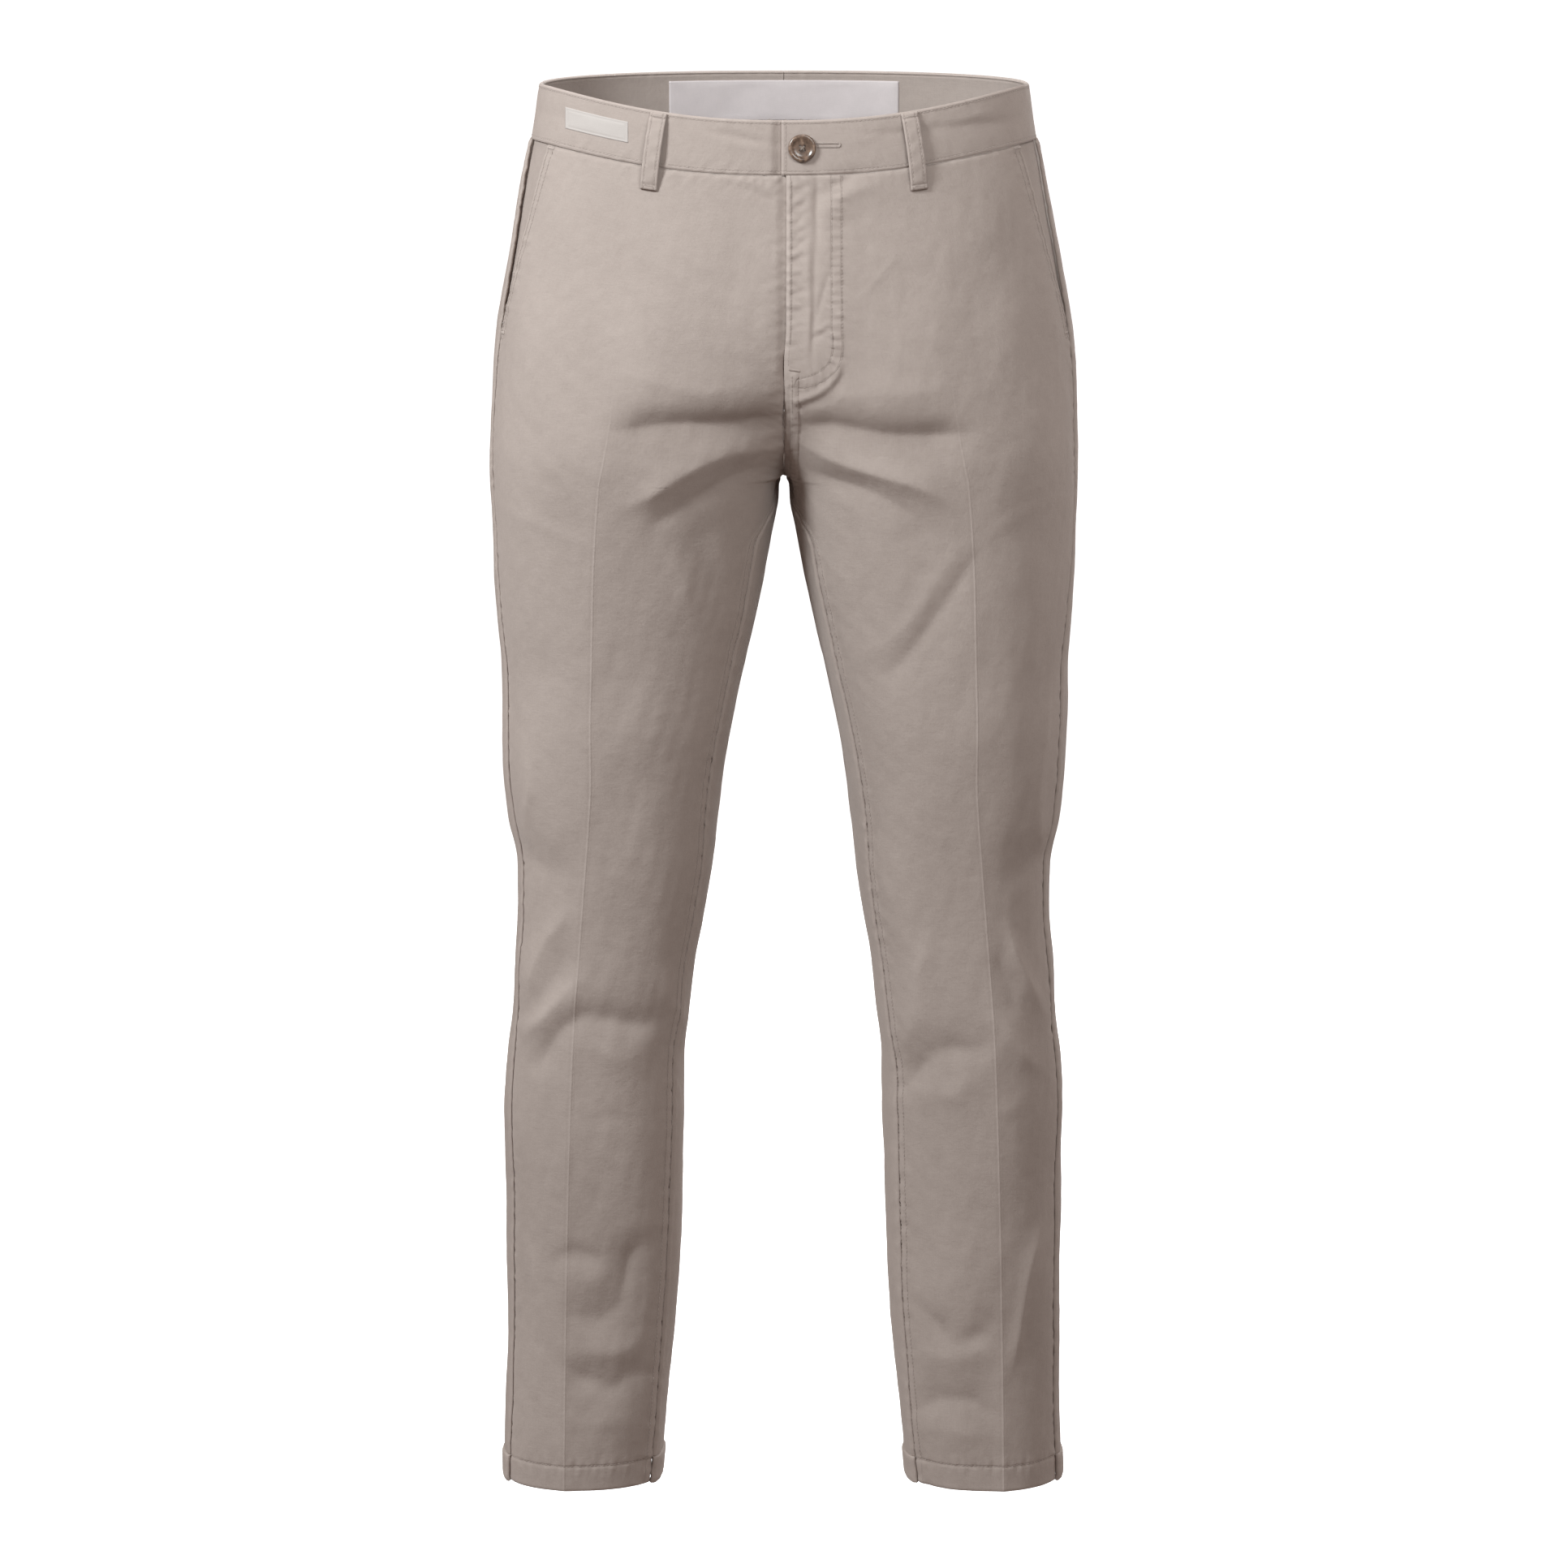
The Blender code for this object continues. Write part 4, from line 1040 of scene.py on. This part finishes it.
def makeFront(side, name):
    downs = panelDowns(*panel["frontRows"])
    down = downs[:, None]
    outer = frontOuterEdge(downs)
    inner = frontInnerEdge(side, downs)
    angle, place, width = arcGrid(side, downs, outer, inner, panel["frontColumns"], seamCrowd, frontCrowd)
    fromInner = width[:, None] - place
    point = basePoint(side, angle, down)
    x = point[..., 0]
    z = point[..., 2]
    pocket = easeDown(cut["pocketEnd"] - 0.003, cut["pocketEnd"] + 0.003, down)
    leg = ease(cut["forkDown"], cut["forkDown"] + 0.02, down)
    opened = flyOpen(downs)[:, None]
    low, high = rows["pocket"]
    relief = pocket * (lipped(place, low) - 0.0003 * bell(place - high))
    relief = relief + pocket * pucker("pocket", 31 + side, down, abs(place - 0.006))
    relief = relief + (1 - pocket) * seamRelief(41 + side, down, place, rows["plain"], 0.7)
    relief = relief + leg * seamRelief(51 + side, down, fromInner, rows["inseam"][1])
    relief = relief + endsRelief(61 + side, down, place)
    pair = doubleRow(down < cut["pocketEnd"], place, rows["pocket"])
    pair = np.minimum(pair, doubleRow(down > cut["forkDown"], fromInner, rows["inseam"]))
    single = rows["hem"] - down
    if side > 0:
        relief = relief + opened * lipped(fromInner, fly["lip"], 0.0006) + flyRelief(x, z) + stripRelief(x, z)
        relief = relief + (1 - leg) * pucker("flyLip", 73, z, abs(fromInner - 0.004))
        fromRow = besidePath(x, z, fly["row"])[0]
        pair = np.minimum(pair, doubleRow(z > fly["low"], fromRow, (-fly["half"], fly["half"])))
        single = np.minimum(single, np.where(opened > 0.5, fromInner - fly["lip"], farAway))
    else:
        sunk = ease(cut["flyEdge"] - cut["flyRamp"], cut["flyEdge"] - cut["gap"], x)
        shut = easeDown(cut["flyEnd"] - cut["flyJoin"], cut["flyEnd"], down)
        relief = relief - (cut["wall"] + cut["gap"]) * sunk * shut
        relief = relief + (1 - leg) * pucker("flyUnder", 75, z, abs(x))
    relief = relief - (1 - leg) * (1 - opened) * 0.0009 * bell(fromInner, 0.0012)
    return dressPanel(name, side, downs, angle, place, width, relief, pair, single)


def makeBack(side, name):
    downs = panelDowns(*panel["backRows"])
    down = downs[:, None]
    outer = outseam(downs) - halfGap(downs)
    inner = backInnerEdge(downs)
    angle, place, width = arcGrid(side, downs, outer, inner, panel["backColumns"], seamCrowd, seamCrowd)
    fromInner = width[:, None] - place
    relief = seamRelief(141 + side, down, place, rows["plain"], 0.7)
    relief = relief + seamRelief(151 + side, down, fromInner, rows["plain"])
    relief = relief + endsRelief(161 + side, down, place)
    single = rows["hem"] - down
    if side > 0:
        seat = easeDown(cut["forkDown"], cut["forkDown"] + 0.02, down)
        drawn = lipped(fromInner, rows["seat"]) + pucker("seat", 171, down, fromInner)
        relief = relief + seat * drawn
        single = np.minimum(single, np.where(seat > 0.5, fromInner - rows["seat"], farAway))
    return dressPanel(name, side, downs, angle, place, width, relief, 4.0, single, True)


frontLeft = makeFront(1, "front_left")
frontRight = makeFront(-1, "front_right")
backLeft = makeBack(1, "back_left")
backRight = makeBack(-1, "back_right")
print("fronts and backs made")

# Pocket facings

facing = {"drop": 0.0023, "wall": 0.0012, "under": 0.012, "behind": 0.003, "past": 0.010}


def makeFacing(side, name):
    downs = np.linspace(cut["bandHeight"] + cut["gap"], cut["pocketEnd"] + facing["past"], 60)
    half = ring(downs)[1]
    outer = outseam(downs) - facing["behind"] / half
    inner = frontOuterEdge(downs) + facing["under"] / half
    crowd = (0.001, 0.002)
    angle, place, _ = arcGrid(side, downs, outer, inner, 24, crowd, crowd)
    point, _ = clothPoint(side, angle, downs[:, None], facing["drop"])
    normal = baseNormal(side, middleOf(angle), downs[30])
    # a fixed negative relief value: painted shade all over the facing
    values = trims(-0.001, 0.0)
    sheet = clothSheet(name, point, place, downs[:, None], normal, values, facing["wall"], facingMaterial)


makeFacing(1, "pocket_facing_left")
makeFacing(-1, "pocket_facing_right")

# Waistband

band = {
    "overlap": 0.002,
    "underlap": 0.036,
    "step": 0.008,
    "puff": 0.0004,
    "edges": (0, 0.0003, 0.0008, 0.0015, 0.0024, 0.0034, 0.0046),
    "middleRows": 14,
    "columns": 200,
    "backCrowd": (0.0006, 0.0014, 0.003),
    "frontCrowd": (0.0005, 0.0012, 0.002, 0.003),
    "creases": (
        # x1, z1, x2, z2, bow, width, rise, lean
        (-0.052, -0.0325, -0.004, -0.0415, 0.001, 0.0030, -0.0012, 0.7),
        (-0.052, -0.0370, -0.004, -0.0460, 0.001, 0.0034, 0.0008, 1.0),
        (0.052, -0.0335, 0.172, -0.0235, -0.001, 0.0036, -0.0010, 0.7),
        (-0.175, -0.0200, -0.110, -0.0340, 0.000, 0.0040, -0.0005, 1.0),
        (-0.0125, -0.0455, -0.0135, -0.0590, -0.001, 0.0014, -0.0007, 1.0),
        (0.040, -0.0400, 0.080, -0.0350, 0.001, 0.0040, 0.0006, 1.0),
        (0.110, -0.0300, 0.160, -0.0180, 0.001, 0.0050, 0.0006, 1.0),
    ),
}


def makeBand(side, name):
    height = cut["bandHeight"]
    edges = np.array(band["edges"])
    middle = np.linspace(edges[-1], height - edges[-1], band["middleRows"] + 2)[1:-1]
    downs = np.concatenate([edges, middle, height - edges[::-1]])
    down = downs[:, None]
    back = angleAt(cut["gap"] / 2, downs, "back")
    front = angleAt(-band["overlap"] if side > 0 else -band["underlap"], downs, "front")
    angle, place, width = arcGrid(
        side, downs, back, front, band["columns"], band["backCrowd"], band["frontCrowd"]
    )
    point, _ = clothPoint(side, angle, down)
    normal = baseNormal(side, angle, down)
    edge = np.minimum(down, height - down)
    x = point[..., 0]
    relief = band["puff"] * ease(0, 0.012, edge) - 0.0010 * np.exp(-((edge / 0.0009) ** 1.6))
    relief = relief + 0.0003 * easeDown(0.002, 0.004, edge) - 0.0003 * bell(edge - rows["band"])
    relief = relief + pucker("bandTop", 201 + side, place, down)
    relief = relief + pucker("bandLow", 205 + side, place, height - down)
    relief = relief + ease(0, 0.3, -normal[..., 1]) * creasesAt(band["creases"], x, point[..., 2])
    if side < 0:
        start = -band["overlap"] - band["step"]
        sunk = ease(start, start + band["step"] - 0.001, x) * (angle > 0)
        relief = relief - (cut["bandWall"] + cut["gap"]) * sunk
    else:
        relief = relief + lipped(width[:, None] - place, rows["bandEnd"], 0.0003)
    point = point + normal * relief[..., None]
    # painted shade in the band's sunk edges and rows, painted light where it puffs out; its edges also lighter
    # for wear
    values = trims(0.7 * np.clip(relief, -0.002, 0.002), 0.8 * bell(edge, 0.0015), 4.0, edge - rows["band"])
    sheet = clothSheet(name, point, place, down, middleOf(normal), values, cut["bandWall"], clothMaterial)
    return {**sheet, "place": place, "width": width, "downs": downs}


bandLeft = makeBand(1, "waistband_left")
bandRight = makeBand(-1, "waistband_right")
print("waistband made")

# Belt loops

loop = {
    "width": 0.0125,
    "top": 0.0010,
    "end": 0.0585,
    "wall": 0.0016,
    "stand": 0.0034,
    "seat": 0.0007,
    "spread": 0.085,
    "row": 0.0022,
    "pinch": 0.0036,
    # name, x, face
    "places": (
        ("belt_loop_front_left", 0.0895, "front"),
        ("belt_loop_front_right", -0.0895, "front"),
        ("belt_loop_side_left", 0.128, "back"),
        ("belt_loop_side_right", -0.128, "back"),
        ("belt_loop_back", 0.0, "back"),
    ),
}


def makeLoop(name, x, face):
    half = 1 if x >= 0 else -1
    top = np.array(loop["top"])
    normal = baseNormal(half, angleAt(abs(x), top, face), top)
    width = loop["width"] * abs(normal[1])
    share = np.linspace(0, 1, 57)[:, None]
    cross = np.linspace(-0.5, 0.5, 17)[None, :]
    length = loop["end"] - loop["top"]
    down = loop["top"] + length * share + 0 * cross
    across = x * (1 + loop["spread"] * share) + cross * width
    stand = loop["seat"] + loop["wall"] + loop["stand"] * np.sin(math.pi * share) ** 0.8
    edge = (0.5 - abs(cross)) * loop["width"]
    ends = np.minimum(share, 1 - share) * length
    roll = -0.0008 * bell(edge, 0.0009) - 0.0003 * bell(edge - loop["row"])
    pinch = -0.0007 * bell(ends - loop["pinch"], 0.0012) - 0.0006 * bell(ends, 0.0009)
    wave = 0.00022 * np.sin(share * 31 + x * 60) * np.cos(cross * 5 + x * 9)
    side = np.where(across < 0, -1.0, 1.0)
    angle = angleAt(abs(across), down, face)
    point, _ = clothPoint(side, angle, down, -(stand + roll + pinch + wave))
    # painted shade at the loop's rolled edges and pinched ends; its edges also lighter for wear
    values = trims((roll + pinch) * 1.3, 0.7 * bell(edge, 0.0014), 4.0, edge - loop["row"])
    place = cross * loop["width"]
    sheet = clothSheet(name, point, place, down, normal, values, loop["wall"], clothMaterial)
    return sheet


loops = {name: makeLoop(name, x, face) for name, x, face in loop["places"]}
print("belt loops made")

# Stitches: how far apart, then the length, width and height of one

bead = (0.0024, 0.00055, 0.00042)
alongRow = {"row": (0.0030, bead), "loopRow": (0.0028, bead), "closeRow": (0.0026, bead)}
acrossRow = {
    "bar": (0.00055, (0.0022, 0.0006, 0.0006)),
    "shortBar": (0.00055, (0.0020, 0.0006, 0.0006)),
    "loopBar": (0.0007, (0.0018, 0.0006, 0.0005)),
    "buttonhole": (0.00042, (0.0017, 0.00046, 0.0008)),
}
stitches = {**alongRow, **acrossRow}
# How far a stitch looks for the cloth, how far on it looks for its way, and how high it sits
stitchReach = 0.004
stitchStep = 0.0008
stitchLift = 0.28
buttonhole = {"first": 0.0215, "last": 0.0390, "level": -0.0412, "half": 0.0013}


def unitBead():
    shape = bmesh.new()
    bmesh.ops.create_uvsphere(shape, u_segments=6, v_segments=5, radius=1.0)
    bmesh.ops.rotate(shape, verts=shape.verts[:], matrix=Matrix.Rotation(math.radians(90), 3, "Y"))
    spots = np.array([vertex.co[:] for vertex in shape.verts])
    faces = [[vertex.index for vertex in face.verts] for face in shape.faces]
    shape.free()
    return spots, faces


beadSpots, beadFaces = unitBead()


def pointOn(path, travel, at):
    return np.array([np.interp(at, travel, path[:, axis]) for axis in range(3)])


class Sewing:  # gathers stitches, each laid along its row on the cloth, into one mesh
    def __init__(self, tree):
        self.tree = tree
        self.spots = []

    def lay(self, middle, way, normal, size):
        normal = normal / np.linalg.norm(normal)
        way = way - normal * (way @ normal)
        way = way / np.linalg.norm(way)
        turned = beadSpots * np.array(size) / 2
        axes = np.stack([way, np.cross(normal, way), normal])
        self.spots.append(middle + normal * (size[2] * stitchLift) + turned @ axes)

    def row(self, path, kind="row"):
        path = np.array(path, float)
        travel = travelled(path)
        pitch, size = stitches[kind]
        for at in np.arange(pitch / 2, travel[-1], pitch):
            found, normal, _, _ = self.tree.find_nearest(pointOn(path, travel, at), stitchReach)
            if found is None:
                continue
            ahead = pointOn(path, travel, min(at + stitchStep, travel[-1]))
            way = ahead - pointOn(path, travel, at - stitchStep)
            if kind in acrossRow:
                way = np.array(Matrix.Rotation(math.radians(90), 3, normal) @ Vector(way))
            self.lay(np.array(found), way, np.array(normal), size)

    def cast(self, flat, kind="row"):  # a row drawn as x and z, thrown onto the front
        hits = (self.tree.ray_cast(Vector((x, -0.5, z)), Vector((0, 1, 0)))[0] for x, z in flat)
        self.row([hit[:] for hit in hits if hit is not None], kind)

    def finish(self, name, material):
        count = len(beadSpots)
        starts = range(0, count * len(self.spots), count)
        faces = [[start + corner for corner in face] for start in starts for face in beadFaces]
        mesh = bpy.data.meshes.new(name)
        mesh.from_pydata(np.concatenate(self.spots).tolist(), [], faces)
        return newObject(name, mesh, material)


def alongPanel(sheet, distance, first, last, fromInner=False):
    # The line at an even distance from a panel's edge, between two levels.
    path = []
    for index, down in enumerate(sheet["downs"]):
        if first <= down <= last:
            at = sheet["width"][index] - distance if fromInner else distance
            path.append(pointOn(sheet["point"][index], sheet["place"][index], at))
    return path


def acrossPanel(sheet, down):
    # The level line of a panel at a distance down.
    index = np.clip(np.searchsorted(sheet["downs"], down), 1, len(sheet["downs"]) - 1)
    before, after = sheet["downs"][index - 1 : index + 1]
    share = (down - before) / (after - before)
    line = sheet["point"][index - 1] * (1 - share) + sheet["point"][index] * share
    return line[1:-1]


def offsetPath(corners, aside):  # a path moved outwards by a distance
    path = rounded(corners, 120)
    step = heading(path)
    return path + aside * np.stack([-step[:, 1], step[:, 0]], -1)


def sewFront(side, sheet, name):
    sewing = Sewing(sheet["tree"])
    top = cut["bandHeight"] + 0.003
    for distance in rows["pocket"]:
        sewing.row(alongPanel(sheet, distance, top, cut["pocketEnd"]))
    for distance in rows["inseam"]:
        sewing.row(alongPanel(sheet, distance, cut["forkDown"] + 0.012, hemFold, True))
    sewing.row(acrossPanel(sheet, rows["hem"]))
    if side > 0:
        sewing.row(alongPanel(sheet, fly["lip"], top, 0.196, True), "closeRow")
        for aside in (-fly["half"], fly["half"]):
            sewing.cast(offsetPath(fly["row"], aside), "closeRow")
        first, last = fly["strip"]
        for across in (first + 0.0010, last - 0.0010):
            sewing.cast([(across, z) for z in np.linspace(-0.206, -0.274, 60)], "closeRow")
        sewing.cast([(0.0342, -0.1745), (0.0345, -0.1855)], "bar")
        sewing.cast([(0.0035, -0.2015), (0.0115, -0.2025)], "shortBar")
    low, high = rows["pocket"]
    for level in (top + 0.001, cut["pocketEnd"] - 0.003):
        ends = [alongPanel(sheet, at, level - 0.002, level + 0.002)[0] for at in (low - 0.001, high + 0.001)]
        sewing.row(ends, "bar")
    sewing.finish(name, threadMaterial)


def sewBack(side, sheet, name):
    sewing = Sewing(sheet["tree"])
    sewing.row(acrossPanel(sheet, rows["hem"]))
    if side > 0:
        first, last = cut["bandHeight"] + 0.002, cut["forkDown"] - 0.002
        sewing.row(alongPanel(sheet, rows["seat"], first, last, True))
    sewing.finish(name, threadMaterial)


def sewBand(side, sheet, name):
    sewing = Sewing(sheet["tree"])
    for level in (rows["band"], cut["bandHeight"] - rows["band"]):
        sewing.row(acrossPanel(sheet, level))
    if side > 0:
        sewing.row(alongPanel(sheet, rows["bandEnd"], 0.003, 0.0375, True))
        sewing.cast(buttonholePath(), "buttonhole")
    sewing.finish(name, threadMaterial)


def buttonholePath():
    # Round a slit that runs on from under the button.
    first, last, level, half = buttonhole.values()
    upper = [(x, level + half) for x in np.linspace(first, last, 30)]
    turn = [(last + half * math.sin(a), level + half * math.cos(a)) for a in np.linspace(0, math.pi, 12)]
    lower = [(x, level - half) for x in np.linspace(last, first, 30)]
    return upper + turn + lower


def sewLoop(sheet, name):
    sewing = Sewing(sheet["tree"])
    last = sheet["point"].shape[1] - 1
    for share in (0.18, 0.82):
        sewing.row(sheet["point"][2:-2, round(share * last)], "loopRow")
    for row in (3, -4):
        sewing.row(sheet["point"][row, 1:-1], "loopBar")
    sewing.finish(name, threadMaterial)


sewFront(1, frontLeft, "stitches_front_left")
sewFront(-1, frontRight, "stitches_front_right")
sewBack(1, backLeft, "stitches_back_left")
sewBack(-1, backRight, "stitches_back_right")
sewBand(1, bandLeft, "stitches_band_left")
sewBand(-1, bandRight, "stitches_band_right")
for name, sheet in loops.items():
    sewLoop(sheet, name.replace("belt_loop", "stitches_loop"))
print("stitches made")

# Labels

label = {"wall": 0.0005, "wave": 0.0002, "gap": 0.0003, "seam": 0.0016}


def makeLabel(name, left, right, top, bottom, face, depth, material):
    share = np.linspace(0, 1, 25)[:, None]
    across = np.linspace(left, right, 121)[None, :]
    down = top + (bottom - top) * share
    across, down = np.broadcast_arrays(across, down)
    outside = 1 if face == "front" else -1
    edge = np.minimum(np.minimum(across - left, right - across), np.minimum(down - top, bottom - down))
    lift = label["wave"] * np.sin(across * 90 + down * 60) * ease(0.001, 0.006, edge)
    lift = lift - 0.00025 * bell(edge - label["seam"], 0.0006) - 0.0002 * bell(edge, 0.0006)
    side = np.where(across < 0, -1.0, 1.0)
    point, _ = clothPoint(side, angleAt(abs(across), down, face), down, depth - outside * lift)
    middle = angleAt(abs((left + right) / 2), np.array(top), face)
    normal = outside * baseNormal(1, middle, np.array(top))
    sheet = clothSheet(name, point, across, down, normal, {}, label["wall"], material)


labelMaterial = makeLabelCloth("paleLabel", (0.690, 0.615, 0.605), (0.530, 0.470, 0.460))
tabMaterial = makeLabelCloth("whiteLabel", (0.520, 0.465, 0.430), (0.450, 0.402, 0.370))
innerDepth = cut["bandWall"] + label["gap"]
outerDepth = -label["gap"] - label["wall"]
makeLabel("label_inner", -0.087, 0.087, 0.007, 0.037, "back", innerDepth, labelMaterial)
makeLabel("label_outer", -0.158, -0.112, 0.0115, 0.0265, "front", outerDepth, tabMaterial)

# Button

button = {
    "radius": 0.010,
    "thick": 0.0032,
    "x": 0.013,
    "down": 0.0205,
    "stand": 0.0005,
    "hole": 0.00095,
    "apart": 0.0021,
    "threadAside": 0.00028,
    "threadSize": (0.0052, 0.0005, 0.0008),
    # the rim and dish, as shares of the radius and the thickness
    "profile": (
        (0.0, 0.0),
        (0.60, 0.0),
        (0.88, 0.10),
        (0.97, 0.28),
        (1.0, 0.50),
        (0.985, 0.76),
        (0.94, 0.92),
        (0.87, 1.0),
        (0.79, 0.97),
        (0.71, 0.84),
        (0.63, 0.70),
        (0.54, 0.62),
        (0.40, 0.59),
        (0.20, 0.58),
        (0.0, 0.58),
    ),
}


def drilledDisc():
    # A rimmed disc turned from its profile, with four holes cut through.
    sizes = (button["radius"], button["thick"])
    disc = linked("disc", spun("disc", np.array(button["profile"]) * sizes, 0.00002))
    drills = []
    for turn in range(4):
        way = math.radians(45 + 90 * turn)
        spot = Matrix.Translation((button["apart"] * math.cos(way), button["apart"] * math.sin(way), 0))
        size = {"segments": 20, "radius1": button["hole"], "radius2": button["hole"], "depth": 0.02}
        drill = bmesh.new()
        bmesh.ops.create_cone(drill, cap_ends=True, matrix=spot, **size)
        drills.append(linked(f"drill{turn}", meshOf("drill", drill)))
        cutting = disc.modifiers.new(f"hole{turn}", "BOOLEAN")
        cutting.operation = "DIFFERENCE"
        cutting.solver = "EXACT"
        cutting.object = drills[-1]
    graph = bpy.context.evaluated_depsgraph_get()
    done = bpy.data.meshes.new_from_object(disc.evaluated_get(graph))
    for spare in drills + [disc]:
        bpy.data.objects.remove(spare, do_unlink=True)
    return done


def makeButton():
    down = np.array(button["down"])
    angle = angleAt(np.array(button["x"]), down, "front")
    seat = clothPoint(1, angle, down, -button["stand"])[0]
    outward = Vector(baseNormal(1, angle, down))
    place = Matrix.Translation(Vector(seat)) @ outward.to_track_quat("Z", "Y").to_matrix().to_4x4()
    disc = drilledDisc()
    disc.transform(place)
    newObject("button", disc, makeHorn("mottledHorn"), ["waist_button"])
    disc.set_sharp_from_angle(angle=math.radians(50))
    tie = Sewing(None)
    for turn in (45, 135):
        way = math.radians(turn)
        for aside in (-button["threadAside"], button["threadAside"]):
            over = Vector((math.cos(way), math.sin(way), 0))
            middle = Vector((-math.sin(way) * aside, math.cos(way) * aside, button["thick"] * 0.60))
            ahead = np.array(place.to_3x3() @ over)
            tie.lay(np.array(place @ middle), ahead, np.array(outward), button["threadSize"])
    tie.finish("button_thread", buttonThread)


makeButton()
print("labels and button made")

# Camera, light and floor

view = {"place": (0.0, -4.0, 0.12), "aim": (0.0, 0.0, -0.522), "lens": 124.0, "sensor": 36.0}
camera = linked("camera", bpy.data.cameras.new("camera"))
aimed(camera, view["place"], view["aim"])
camera.data.lens = view["lens"]
camera.data.sensor_width = view["sensor"]
bpy.context.scene.camera = camera

# name, place, aim, width and height, power, colour
lights = (
    ("key", (-1.57, -1.32, 1.10), (0.0, 0.0, -0.50), (0.6, 0.6), 58, (0.92, 1.0, 1.04)),
    ("front", (0.45, -1.40, 0.62), (0.0, 0.0, -0.35), (0.6, 0.6), 11, (0.93, 1.0, 1.03)),
    ("edgeLeft", (-2.2, 1.2, 0.1), (-0.1, 0.0, -0.5), (0.7, 2.0), 10, (1.0, 1.0, 1.0)),
    ("edgeRight", (2.2, 1.2, 0.1), (0.1, 0.0, -0.5), (0.7, 2.0), 16, (1.0, 1.0, 1.0)),
    ("top", (0.0, 0.2, 2.2), (0.0, 0.1, -0.1), (1.0, 1.0), 16, (1.0, 1.0, 1.0)),
    ("back", (0.7, 2.7, 0.7), (0.0, 0.0, -0.5), (1.2, 1.2), 46, (0.95, 1.0, 1.02)),
)
for name, place, aim, size, power, colour in lights:
    light = linked(name, bpy.data.lights.new(name, "AREA"))
    light.data.shape = "RECTANGLE"
    light.data.size, light.data.size_y = size
    light.data.energy = power
    light.data.color = colour
    aimed(light, place, aim)
    light.visible_camera = False

world = bpy.data.worlds.new("studio")
world.use_nodes = True
world.node_tree.nodes["Background"].inputs["Color"].default_value = (1.0, 0.84, 0.78, 1.0)
world.node_tree.nodes["Background"].inputs["Strength"].default_value = 0.27
bpy.context.scene.world = world
bpy.context.scene.view_settings.view_transform = "Standard"

backdrop = {"drop": 0.10, "reach": 6.0, "curve": 1.5, "top": 5.0}


def makeBackdrop():
    # A round floor that curves up into a wall on all sides.
    low = cadBox[0][2] - backdrop["drop"]
    curve = backdrop["curve"]
    flat = backdrop["reach"] - curve
    turns = np.radians(np.linspace(0, 90, 10))[1:]
    bend = [(flat + curve * math.sin(way), low + curve * (1 - math.cos(way))) for way in turns]
    profile = [(0.0, low), (2.0, low), (flat, low), *bend, (backdrop["reach"], backdrop["top"])]
    mesh = spun("floor", profile, 0.0001, inwards=True)
    mesh.shade_smooth()
    constants = {
        "Base Color": (0.90, 0.90, 0.90, 1.0),
        "Roughness": 0.9,
        "Specular IOR Level": 0.0,
        "Emission Color": (1.0, 1.0, 1.0, 1.0),
        "Emission Strength": 0.85,
    }
    mesh.materials.append(newMaterial("paleFloor", constants)[0])
    floor = linked("floor", mesh)
    floor.visible_diffuse = False
    floor.visible_glossy = False
    floor.visible_shadow = False


makeBackdrop()
print("camera, light and floor made")
